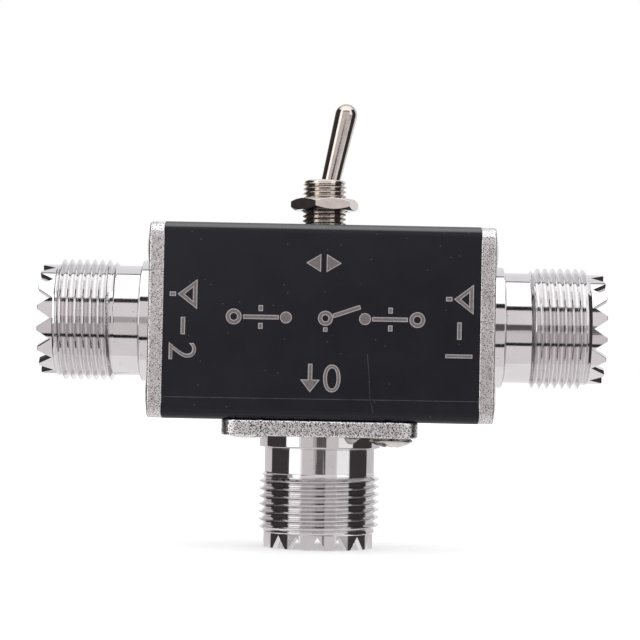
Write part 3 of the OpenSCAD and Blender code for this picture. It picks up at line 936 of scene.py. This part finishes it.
@dataclass
class FlangeScrews:
    """Four domed countersunk screws with cross recesses."""

    plan: SocketPlan
    # The head: its rim with a fine edge, cone and dome, and what a proud one has in height and dome
    head_r: float = 2.8
    rim_h: float = 0.12
    edge: float = 0.03
    cone_h: float = 1.3
    dome_h: float = 0.4
    dome_power: float = 2.6
    raised: float = 0.45
    swell: float = 0.4
    # The cross: length and half width of its arms, how softly they end, its depth, its turns in
    # degrees
    arm: float = 1.5
    arm_w: float = 0.42
    side_run: float = 0.16
    end_run: float = 0.25
    recess: float = 0.8
    turns: tuple[float, ...] = (20.0, 65.0, 8.0, 38.0)
    # The shank: a plain length, the thread, and a bevelled end
    shank_r: float = 1.48
    plain_l: float = 0.2
    thread_h: float = 0.18
    half_pitch: float = 0.25
    end_cut: float = 0.3
    # The grid: its columns, the rows across the dome, and their distance from its middle and rim
    columns: int = 72
    dome_rows: int = 24
    inset: float = 0.12

    def arm_cut(self, along: np.ndarray, across: np.ndarray) -> np.ndarray:
        """Depth of one arm of the cross from 0 to 1: the product of two ramps."""
        side = np.clip((self.arm_w - np.abs(across)) / self.side_run, 0, 1)
        return side * np.clip((self.arm - np.abs(along)) / self.end_run, 0, 1)

    def head(self, turn: float, dome_h: float) -> np.ndarray:
        """Points of one screw, its head's rim at z = 0.

        The dome is dome_h * (1 - (r / head_r)^dome_power). The recess is the greater of two crossed arms,
        with a floor that rises towards the arms' ends.

        Args:
            turn: turn of the cross in degrees.
            dome_h: height of the dome in mm.

        Returns:
            Points in mm, by row, column and axis.
        """
        angle = np.linspace(0, TURN, self.columns, endpoint=False)
        rings = np.linspace(self.inset, self.head_r - self.inset, self.dome_rows)
        r = np.concatenate([[0.0], rings, [self.head_r - self.edge]])
        face = turned([(0.0, radius) for radius in r], angle)
        x, y, r = face[..., 0], face[..., 1], r[:, None]
        spin = math.radians(turn)
        u, v = x * math.cos(spin) + y * math.sin(spin), y * math.cos(spin) - x * math.sin(spin)
        floor = self.recess * (1 - 0.5 * (r / self.arm) ** 2).clip(0, 1)
        cross = np.maximum(self.arm_cut(u, v), self.arm_cut(v, u)) * floor
        face[..., 2] = dome_h * (1 - (r / self.head_r) ** self.dome_power) - cross
        below = [(-self.edge, self.head_r), (-self.rim_h, self.head_r), (-self.cone_h, self.shank_r + 0.05)]
        length = self.plan.screw_l
        crests = np.arange(-self.cone_h - self.plain_l, self.end_cut - length, -self.half_pitch)
        below += [(z, self.shank_r - self.thread_h * (k % 2)) for k, z in enumerate(crests)]
        below += [(-length, self.shank_r - self.end_cut), (-length, 0.0)]
        return np.concatenate([face, turned(below, angle)])

    def build(self, material: bpy.types.Material) -> bpy.types.Object:
        """Build the four screws. A proud one also has a higher dome.

        Args:
            material: its finish.

        Returns:
            The piece.
        """
        grids = []
        for number, ((x, y), turn) in enumerate(zip(PORTS, self.turns)):
            proud = number == self.plan.proud
            points = self.head(turn, self.dome_h + self.swell * proud)
            points += np.array([x, y, FLANGE_T + self.raised * proud])
            grids.append((self.plan.place(points), grid_faces(len(points), points.shape[1])))
        return make_piece(f"{self.plan.stem}_screws", grids, material, 38)


@dataclass
class SocketSet:
    """One socket with all that belongs to it: barrel, flange, screws, insulator and contact."""

    plan: SocketPlan
    finishes: Finishes

    def build(self) -> None:
        """Build the socket's pieces and hang them on the case."""
        plan, stem = self.plan, self.plan.stem
        for part, finish in ((SocketBarrel(plan), plan.turned), (SocketFlange(plan), plan.cast)):
            settle(part.build(self.finishes[finish]), Body.CASE, Slot.SHELL, f"{stem}_socket_shell")
        screws = FlangeScrews(plan).build(self.finishes[Skin.SCREW])
        settle(screws, Body.CASE, Slot.SCREW, f"{stem}_flange_screws")
        for name, node, finish, slot in (("ptfe", "insulator", Skin.PTFE, Slot.PTFE),
                                         ("pin_socket", "contact", Skin.SILVER, Slot.CONTACT)):
            copy = copy_node(f"{stem}_{name}", f"{stem}_{node}", self.finishes[finish])
            settle(copy, Body.CASE, slot, f"{stem}_{node}")


# ---- Toggle switch ----


@dataclass
class ToggleBushing:
    """The threaded bushing of the toggle, its top chamfered and its mouth flared."""

    # The spigot below, and its shoulder
    bottom_z: float = 38.8
    plate_z: float = 39.3
    spigot_r: float = 2.65
    shoulder: float = 0.1
    # The thread, how softly it runs out, and the share of its depth at which the plain end lies
    crest_r: float = 2.9
    root_r: float = 2.5
    thread_z: float = 39.6
    end_z: float = 47.98
    pitch: float = 0.6
    fade_l: float = 0.35
    plain_share: float = 0.55
    # The top and its round edge, as steps in height and radius
    top_z: float = 48.3
    top_edge: tuple[tuple[float, float], ...] = ((-0.2, 0.0), (-0.05, -0.13), (0.0, -0.25))
    # The mouth, the lip that holds the ball, the ball's seat and the bore
    mouth_r: float = 2.15
    mouth_cut: float = 0.06
    lip_r: float = 1.65
    lip_z: float = 46.25
    lip_w: float = 0.1
    seat_r: float = 2.05
    seat_z: float = 45.25
    low_z: float = 42.8
    bore_r: float = 2.3
    # The thread's profile: places in turns, and the share of the full depth there
    phases: tuple[float, ...] = (0.0, 0.05, 0.1, 0.16, 0.44, 0.5, 0.54, 0.58, 0.62, 0.68, 0.94)
    heights: tuple[float, ...] = (0.97, 1.0, 0.97, 0.86, 0.14, 0.03, 0.0, 0.0, 0.03, 0.14, 0.86)

    def build(self, material: bpy.types.Material) -> bpy.types.Object:
        """Build the bushing as one closed grid with a helical thread, as SocketBarrel does.

        Args:
            material: its finish.

        Returns:
            The piece.
        """
        angle = np.linspace(0, TURN, 97)
        rows = [(self.bottom_z, self.bore_r), (self.bottom_z, self.spigot_r),
                (self.plate_z, self.spigot_r), (self.plate_z, self.root_r + self.shoulder)]
        turns = math.ceil((self.end_z - self.thread_z) / self.pitch) + 1
        s = (np.arange(-1, turns)[:, None] + np.array(self.phases)).ravel()
        tooth = np.tile(self.heights, turns + 1)[:, None]
        z = np.clip(self.thread_z + (s[:, None] + angle / TURN) * self.pitch, self.thread_z, self.end_z)
        fade = smooth_step((self.end_z - z) / self.fade_l)
        depth = self.crest_r - self.root_r
        rows += zip(z, self.root_r + depth * (tooth * fade + self.plain_share * (1 - fade)))
        plain = self.root_r + self.plain_share * depth
        rows += [(self.end_z + 0.04, plain)]
        rows += [(self.top_z + rise, plain + out) for rise, out in self.top_edge]
        rows += [(self.top_z, self.mouth_r + self.mouth_cut), (self.top_z - self.mouth_cut, self.mouth_r),
                 (self.lip_z, self.lip_r), (self.lip_z - self.lip_w, self.lip_r),
                 (self.seat_z, self.seat_r), (self.low_z, self.seat_r), (self.low_z, self.bore_r)]
        faces = grid_faces(len(rows), len(angle), loop_rows=True, loop_cols=False)
        return make_piece("bushing", [(turned(rows, angle), faces)], material, 42)


@dataclass
class BushingNut:
    """The thin hexagonal nut, its corners turned down at both faces."""

    # Its size across flats, its place and thickness, its turn in degrees, its bore and bevel
    flats: float = 8.0
    low_z: float = 44.3
    thick: float = 1.5
    turn: float = 15.6
    bore_r: float = 2.92
    bore_cut: float = 0.25
    # The turned-down corners: start inside the flats, slope, and softness of their edges
    inset: float = 0.03
    slope: float = 0.606
    soft: float = 0.04
    # Columns of the grid on each side
    per_side: int = 16

    def build(self, material: bpy.types.Material) -> bpy.types.Object:
        """Build the nut as one closed grid.

        Round the nut the flats lie at flats / 2 / cos(angle from the flat's middle). At both faces
        a cone from the inscribed circle cuts the corners down by slope times how far they stand out.

        Args:
            material: its finish.

        Returns:
            The piece.
        """
        offset = np.linspace(-np.pi / 6, np.pi / 6, self.per_side + 1)[:-1]
        angle = (np.arange(6)[:, None] * np.pi / 3 + offset).ravel() + math.radians(self.turn) + np.pi / 6
        wall = np.tile(self.flats / 2 / np.cos(offset), 6)
        inner = self.flats / 2 - self.inset
        cone = [inner + (wall - self.soft - inner) * share for share in (0.0, 0.5, 1.0)]
        drop = self.slope * (wall - inner) + self.soft
        top, low = self.low_z + self.thick, self.low_z
        mouth_r = self.bore_r + self.bore_cut
        rows = [(top - self.bore_cut, self.bore_r), (top, mouth_r), (top, inner - self.soft)]
        rows += [(top - self.slope * (r - inner), r) for r in cone]
        rows += [(top - drop, wall), ((top + low) / 2, wall), (low + drop, wall)]
        rows += [(low + self.slope * (r - inner), r) for r in cone[::-1]]
        rows += [(low, inner - self.soft), (low, mouth_r), (low + self.bore_cut, self.bore_r)]
        faces = grid_faces(len(rows), len(angle), loop_rows=True)
        return make_piece("nut", [(turned(rows, angle), faces)], material, 22)


@dataclass
class BatLever:
    """The bat lever: round tip, slow taper, throat, ball and stem, leaning to the right.

    Heights are along the lever, from the pivot in the middle of its ball.
    """

    # The arm above the ball
    up: float = 14.02
    tip_r: float = 1.475
    waist_r: float = 1.25
    waist_z: float = 3.5
    throat_r: float = 1.2
    # The ball, the stem below it, and the stem's bore
    ball_r: float = 2.0
    stem_r: float = 0.9
    stem_z: float = -2.2
    stem_l: float = 8.0
    stem_cut: float = 0.1
    bore_r: float = 0.6
    bore_top: float = -2.95

    def build(self, material: bpy.types.Material) -> bpy.types.Object:
        """Turn the lever's profile about its axis and lean it about the pivot.

        The profile is a quarter circle at the tip, a straight taper, the ball's arc between the
        throat and the stem, the stem, and its bore.

        Args:
            material: its finish.

        Returns:
            The piece.
        """
        tip_z = self.up - self.tip_r
        profile = [(tip_z + self.tip_r * math.sin(t), self.tip_r * math.cos(t))
                   for t in np.linspace(np.pi / 2, 0, 14)]
        profile += [(self.waist_z + (tip_z - self.waist_z) * share,
                     self.waist_r + (self.tip_r - self.waist_r) * share)
                    for share in np.linspace(1, 0, 12)[1:]]
        throat, root = math.acos(self.throat_r / self.ball_r), math.acos(self.stem_r / self.ball_r)
        profile += [(self.ball_r * math.sin(t), self.ball_r * math.cos(t))
                    for t in np.linspace(throat, -root, 18)]
        profile += [(self.stem_z, self.stem_r), (self.stem_cut - self.stem_l, self.stem_r),
                    (-self.stem_l, self.stem_r - self.stem_cut), (-self.stem_l, self.bore_r),
                    (self.bore_top, self.bore_r), (self.bore_top, 0.0)]
        angle = np.linspace(0, TURN, 64, endpoint=False)
        cos, sin = math.cos(LEAN), math.sin(LEAN)
        lean = np.array([[cos, 0, sin], [0, 1, 0], [-sin, 0, cos]])
        points = turned(profile, angle) @ lean.T + np.array([0, 0, PIVOT_Z])
        return make_piece("lever", [(points, grid_faces(len(profile), len(angle)))], material, 35)


@dataclass
class ToggleSwitch:
    """The toggle switch: what shows above the case, and the works inside it."""

    finishes: Finishes
    spring_l: float = 3.4
    nib_travel: float = 0.5
    dressed: tuple[tuple[str, Skin], ...] = (
        ("lock_washer", Skin.STEEL), ("toggle_frame", Skin.STEEL), ("toggle_base", Skin.PHENOLIC),
        ("lever_pivot_pin", Skin.STEEL), ("lever_plunger", Skin.NYLON), ("rocker_contact", Skin.SILVER),
        ("common_terminal", Skin.SILVER), ("ant1_terminal", Skin.SILVER), ("ant2_terminal", Skin.SILVER),
        ("ant1_wire", Skin.COPPER), ("ant2_wire", Skin.COPPER))

    def spring(self, lever: BatLever) -> None:
        """Build the spring from a smooth copy of its CAD node, and hang it on the lever.

        Args:
            lever: not used.
        """
        spring = copy_node("spring", "plunger_spring", self.finishes[Skin.STEEL], 50)
        settle(spring, Body.LEVER, Slot.SPRING, "plunger_spring")
        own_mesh(spring)

    def build(self) -> None:
        """Build the bushing, nut, lever and spring, and dress the inner CAD nodes."""
        lever = BatLever()
        for part, finish, body, node in (
                (ToggleBushing(), Skin.TOGGLE, Body.CASE, "toggle_bushing"),
                (BushingNut(), Skin.TOGGLE, Body.CASE, "bushing_nut"),
                (lever, Skin.LEVER, Body.LEVER, "toggle_lever")):
            settle(part.build(self.finishes[finish]), body, Slot.TOGGLE, node)
        self.spring(lever)
        for node, finish in self.dressed:
            dress(node, self.finishes[finish])


# ---- Case and its marks ----


def bar(start: tuple[float, float], end: tuple[float, float], width: float) -> np.ndarray:
    """Draw the outline of a straight stroke.

    Args:
        start: its first end in mm.
        end: its other end in mm.
        width: its width in mm.

    Returns:
        Its four corners.
    """
    a, b = np.array(start), np.array(end)
    side = np.array([a[1] - b[1], b[0] - a[0]]) / np.hypot(*(b - a)) * width / 2
    return np.array([a + side, b + side, b - side, a - side])


def circle(x: float, radius: float) -> np.ndarray:
    """The outline of a disc, or of the hole in a ring, x mm along the line of writing."""
    turn = np.linspace(0, TURN, 32, endpoint=False)
    return np.array((x, 0)) + radius * np.stack([np.cos(turn), np.sin(turn)], -1)


@dataclass
class Case:
    """The anodised tube, with a line and plain marks burnt into its front.

    Attributes:
        finishes: the material of each finish.
        stand: how far a mark stands out in mm.
        rim_w: width of a mark's lighter rim in mm.
        stroke: width of a drawn stroke in mm.
        cap_h: height of a numeral in mm.
        cap_share: that height as a share of the font's size.
    """

    finishes: Finishes
    stand: float = 0.012
    rim_w: float = 0.11
    stroke: float = 0.56
    cap_h: float = 3.5
    cap_share: float = 0.7

    def plate(self, name: str, shapes: list[np.ndarray] | str, inset: float, stand: float) -> bpy.types.Mesh:
        """Fill a mark as a thin plate in the XY plane.

        Args:
            name: its name.
            shapes: closed outlines in mm, a hole being an outline inside another, or a numeral,
                whose middle comes to the origin.
            inset: how far the outlines are drawn in, in mm.
            stand: how far the plate's faces stand off the plane, in mm.

        Returns:
            Its mesh, in metres.
        """
        numeral = isinstance(shapes, str)
        curve = bpy.data.curves.new(name, "FONT" if numeral else "CURVE")
        if numeral:
            curve.body = shapes
            curve.size = self.cap_h / self.cap_share * MM
        for outline in [] if numeral else shapes:
            spline = curve.splines.new("POLY")
            spline.points.add(len(outline) - 1)
            ends = np.tile([0.0, 1.0], (len(outline), 1))
            spline.points.foreach_set("co", np.hstack([outline * MM, ends]).ravel())
            spline.use_cyclic_u = True
        curve.dimensions = "2D"
        curve.fill_mode = "BOTH"
        curve.extrude = stand * MM
        curve.offset = -inset * MM
        shape = add_object(name, curve)
        bpy.context.view_layer.update()
        mesh = bpy.data.meshes.new_from_object(shape.evaluated_get(bpy.context.evaluated_depsgraph_get()))
        bpy.data.objects.remove(shape)
        if numeral:
            corners = np.array([v.co for v in mesh.vertices])
            mesh.transform(Matrix.Translation(-Vector((corners.min(0) + corners.max(0)) / 2)))
        finish_mesh(mesh, 30, 0.001)
        return mesh

    def mark(self, name: str, shapes: list[np.ndarray] | str, x: float, z: float, turn: float = 0.0) -> None:
        """Burn one mark into the front: a lighter outline, and a darker field a little inside it.

        Args:
            name: the mark's name.
            shapes: its outlines or its numeral, as for plate().
            x: place of its middle along the case in mm.
            z: place of its middle above the case's middle in mm.
            turn: its turn in the plane of the front, in degrees, anticlockwise as seen.
        """
        pose = (Matrix.Translation(Vector((x, -CASE_HALF, MIDDLE_Z + z)) * MM)
                @ Matrix.Rotation(math.pi / 2, 4, "X") @ Matrix.Rotation(math.radians(turn), 4, "Z"))
        for part, skin, inset, stand in (("rim", Skin.MARK_RIM, 0.0, self.stand),
                                         ("field", Skin.MARK_FIELD, self.rim_w, self.stand * 1.5)):
            mesh = self.plate(f"{name}_{part}", shapes, inset, stand)
            mesh.transform(pose)
            mesh.materials.append(self.finishes[skin])
            settle(add_object(f"{name}_{part}", mesh), Body.CASE, Slot.ANODISED)

    def aerial(self, at: float) -> list[np.ndarray]:
        """Draw the sign for an aerial: a funnel on a stem.

        Args:
            at: its place along the line of writing in mm.

        Returns:
            Its outlines in mm.
        """
        w, h, half, foot = self.stroke, self.cap_h / 2, 1.9, -0.75
        funnel = np.array([(-half, h), (half, h), (0, foot)])
        hole = np.array([(-0.85, h - w), (0.85, h - w), (0, foot + 1.6 * w)])
        return [shape + np.array([at, 0]) for shape in (funnel, hole, bar((0, foot - 0.2), (0, -h), w))]

    def changeover(self) -> list[np.ndarray]:
        """Draw the sign for a change-over switch, 25 mm long.

        Returns:
            Its outlines in mm.
        """
        w, ring_x, dot_x, dash_x, dash = self.stroke, 11.6, 5.0, 8.2, (0.75, 1.5)
        shapes = []
        for side in (-1, 1):
            shapes += [circle(side * ring_x, 1.0), circle(side * ring_x, 1.0 - w),
                       bar((side * (ring_x - 1.2), 0), (side * (dot_x + 0.9), 0), w),
                       circle(side * dot_x, 0.75)]
            shapes += [bar((side * dash_x, way * dash[0]), (side * dash_x, way * dash[1]), w)
                       for way in (1, -1)]
        arm = bar((0.95, 0.3), (4.4, 1.5), w)
        foot = bar((0, -1.15), (0, -1.7), w)
        return shapes + [arm, foot, circle(0, 0.95), circle(0, 0.95 - w)]

    def line(self, name: str, stops: Outline, width: float, sunk: float = 0.004,
             proud: float = 0.006) -> None:
        """Lay a scratch or drawing line on the front, as a chain of flat boxes.

        Args:
            name: the line's name.
            stops: the places it goes through, in mm along the case and above its middle.
            width: its width in mm.
            sunk: depth of the boxes' backs under the front in mm.
            proud: height of their faces over the front in mm.
        """
        sides = [[i, (i + 1) % 4, 4 + (i + 1) % 4, 4 + i] for i in range(4)]
        faces = np.array(sides + [[0, 1, 2, 3], [4, 5, 6, 7]])
        grids = []
        for start, end in zip(stops, stops[1:]):
            flat = bar(start, end, width)
            low, high = (np.column_stack([flat[:, 0], np.full(4, y - CASE_HALF), MIDDLE_Z + flat[:, 1]])
                         for y in (sunk, -proud))
            grids.append((np.concatenate([low, high]), faces))
        settle(make_piece(name, grids, self.finishes[Skin.BRUISE], 30, 0.0005), Body.CASE, Slot.ANODISED)

    def build(self) -> None:
        """Build the tube from the CAD node, and lay the marks on its front."""
        tube = copy_node("tube", "case_tube", self.finishes[Skin.ANODISED], 22)
        settle(tube, Body.CASE, Slot.ANODISED, "case_tube")
        for number, x in (("2", -17.5), ("1", 17.42)):
            sign = self.aerial(-3.2) + [bar((-0.3, 0), (1.9, 0), self.stroke)]
            self.mark(f"aerial_{number}", sign, x, 0.05, -90)
            self.mark(f"number_{number}", number, x, -3.95, -90)
        self.mark("changeover", self.changeover(), 0.5, 0.53)
        arrow = [(-0.28, 1.8), (0.28, 1.8), (0.28, -0.2), (1.25, -0.2), (0, -1.8), (-1.25, -0.2),
                 (-0.28, -0.2)]
        self.mark("common_arrow", [np.array(arrow)], -1.3, -7.05)
        self.mark("number_0", "0", 1.45, -7.05)
        points = [np.array([(side * 0.35, 1.15), (side * 2.25, 0), (side * 0.35, -1.15)])
                  for side in (-1, 1)]
        self.mark("lever_points", points, 0.17, 7.5)
        self.line("die_line", [(-19.9, -9.78), (19.9, -9.62)], 0.07)
        self.line("scratch", [(5.88, -3.84), (6.13, -6.61), (6.31, -9.5), (6.73, -11.3)], 0.05)


# ---- Studio ----


@dataclass(frozen=True)
class Card:
    """A curved glowing card round the part, on a cylinder about X or Z, that only gloss can see.

    Attributes:
        name: its name.
        axis: the cylinder's axis.
        radius: the cylinder's radius in mm.
        turn: first and last angle in degrees, 0 being the front. About X they rise to the top, and
            about Z they go to the right.
        along: first and last place along the axis in mm, from the part's middle.
        colour: its colour, sRGB.
        strength: its brightness.
    """

    name: str
    axis: Axis
    radius: float
    turn: tuple[float, float]
    along: tuple[float, float]
    colour: str
    strength: float = 1.0

    def build(self) -> None:
        """Build the card as a strip of 25 by 2 points on its cylinder, with a plain glow."""
        steps = 25
        material = bpy.data.materials.new(self.name)
        material.use_nodes = True
        tree = material.node_tree
        tree.nodes.clear()
        light = add_node(tree, "Emission", {"Color": srgb(self.colour), "Strength": self.strength})
        add_node(tree, "OutputMaterial", links={"Surface": light.outputs["Emission"]})
        a, s = np.meshgrid(np.radians(np.linspace(*self.turn, steps)), np.array(self.along), indexing="ij")
        if self.axis is Axis.X:
            points = np.stack([s, -self.radius * np.cos(a), self.radius * np.sin(a)], -1)
        else:
            points = np.stack([self.radius * np.sin(a), -self.radius * np.cos(a), s], -1)
        points = points + np.array([0, 0, MIDDLE_Z])
        mesh = bpy.data.meshes.new(self.name)
        faces = grid_faces(steps, 2, loop_cols=False)
        mesh.from_pydata((points.reshape(-1, 3) * MM).tolist(), [], faces.tolist())
        mesh.materials.append(material)
        card = add_object(self.name, mesh)
        card.visible_camera = card.visible_diffuse = card.visible_shadow = False
        card.visible_transmission = card.visible_volume_scatter = False


ALL = (-450, 450)
# What the bright metal mirrors: softboxes above, behind and beside it, the table it stands on, dark
# flags that give it outlines, and the lens and its stand in front.
CARDS = (
    Card("rear_card", Axis.X, 640, (113.5, 180), ALL, "#f2f1f4"),
    Card("rear_frame", Axis.X, 600, (110, 113.5), ALL, "#0a0a0a"),
    Card("top_softbox", Axis.X, 600, (46, 109), ALL, "#ffffff", 1.6),
    Card("front_frame", Axis.X, 600, (36, 45), ALL, "#2a2829"),
    Card("front_card_upper", Axis.X, 620, (3, 36), ALL, "#ece6e8"),
    Card("front_card_lower", Axis.X, 620, (-31, 3), ALL, "#dbd5d6"),
    Card("table_edge", Axis.X, 600, (-38, -31), ALL, "#1c1b1c"),
    Card("table", Axis.X, 620, (-80, -38), ALL, "#e9e3e5"),
    Card("floor_light", Axis.X, 620, (-160, -80), ALL, "#f8f5f6"),
    Card("left_softbox", Axis.Z, 500, (-64, -40), ALL, "#ffffff", 1.8),
    Card("right_softbox", Axis.Z, 500, (38.5, 65), (60, 450), "#ffffff", 1.4),
    Card("right_softbox_edge", Axis.Z, 500, (38.5, 65), (-28, 60), "#d3cdce"),
    Card("right_reflector", Axis.Z, 500, (38.5, 62), (-62, -28), "#ffffff", 1.1),
    Card("right_table", Axis.Z, 500, (38.5, 65), (-450, -62), "#b4aeaf"),
    Card("left_table", Axis.Z, 497, (-64, -40), (-450, -60), "#b4aeaf"),
    Card("left_flag", Axis.Z, 480, (-118, -65), ALL, "#3f3b3d"),
    Card("left_curtain", Axis.Z, 480, (-148, -118), (-28, 450), "#57534f"),
    Card("left_wall", Axis.Z, 480, (-170, -118), (-450, -28), "#ddd8d9"),
    Card("right_wall", Axis.Z, 480, (117, 160), (-450, -28), "#d5d1d2"),
    Card("right_flag", Axis.Z, 480, (65, 117), ALL, "#3f3b3d"),
    Card("lens", Axis.Z, 400, (-5.5, 9.5), (-36, 44), "#5d595a"),
    Card("lens_side", Axis.Z, 400, (9.5, 12.5), (-82, 44), "#454142"),
    Card("lens_foot", Axis.Z, 400, (-8, 8), (-50, -36), "#565253"),
    Card("stand", Axis.Z, 400, (-12, -5.5), (-36, 44), "#b4aeaf"),
)


@dataclass
class Studio:
    """Camera, floor, sky light and the cards that the bright metal mirrors.

    The floor itself is left out of the mirror images, as in a studio where the part stands on a
    small table well in front of the cards.

    Attributes:
        image_px: width of the photograph in pixels.
        focal_px: focal length of its camera in pixels.
        sensor_w: width of the sensor in mm.
        distance: distance of the camera from its target in mm.
        azimuth: the camera's angle to the right of the front in degrees.
        elevation: its angle above the target in degrees.
        roll: its turn about the line of sight in degrees.
        target: the place it looks at, in mm.
        floor_half: half the floor's width in mm.
    """

    image_px: float = 640
    focal_px: float = 2120.6
    sensor_w: float = 36.0
    distance: float = 280.3
    azimuth: float = 0.58
    elevation: float = -1.29
    roll: float = 1.16
    target: tuple[float, float, float] = (-0.314, 0.0, 29.877)
    floor_half: float = 6000.0

    def camera(self) -> None:
        """Set the camera at the photograph's angle: on a sphere round the target, then rolled."""
        data = bpy.data.cameras.new("camera")
        data.sensor_width = self.sensor_w
        data.lens = self.focal_px / self.image_px * self.sensor_w
        data.clip_start = 0.01
        data.clip_end = 50.0
        az, el = math.radians(self.azimuth), math.radians(self.elevation)
        way = Vector((math.sin(az) * math.cos(el), -math.cos(az) * math.cos(el), math.sin(el)))
        turn = (-way).to_track_quat("-Z", "Y").to_matrix() @ Matrix.Rotation(math.radians(self.roll), 3, "Z")
        camera = add_object("camera", data)
        camera.location = Vector(self.target) * MM + way * self.distance * MM
        camera.rotation_euler = turn.to_euler()
        bpy.context.scene.camera = camera

    def floor(self) -> None:
        """The pale plain floor, at the height of the lower socket's rim."""
        mesh = bpy.data.meshes.new("floor")
        half = self.floor_half * MM
        mesh.from_pydata([(-half, -half, 0), (half, -half, 0), (half, half, 0), (-half, half, 0)], [],
                         [(0, 1, 2, 3)])
        mesh.materials.append(FLOOR.make())
        floor = add_object("floor", mesh)
        floor.visible_glossy = False

    def sky(self) -> None:
        """An even white sky, and plain colours without a film look."""
        world = bpy.data.worlds.new("studio")
        world.use_nodes = True
        world.node_tree.nodes.clear()
        light = add_node(world.node_tree, "Background", {"Color": WHITE, "Strength": 1.0})
        add_node(world.node_tree, "OutputWorld", links={"Surface": light.outputs["Background"]})
        bpy.context.scene.world = world
        bpy.context.scene.view_settings.view_transform = "Standard"

    def build(self) -> None:
        """Set up the studio."""
        self.camera()
        self.sky()
        self.floor()
        for card in CARDS:
            card.build()


def main() -> None:
    """Build every piece in order."""
    logging.basicConfig(level=logging.INFO, format="%(name)s: %(message)s")
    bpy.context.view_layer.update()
    finishes = {skin: skin.value.make() for skin in Skin}
    Studio().build()
    Case(finishes).build()
    for socket in Socket:
        SocketSet(socket.value, finishes).build()
    ToggleSwitch(finishes).build()


if __name__ == "__main__":
    main()
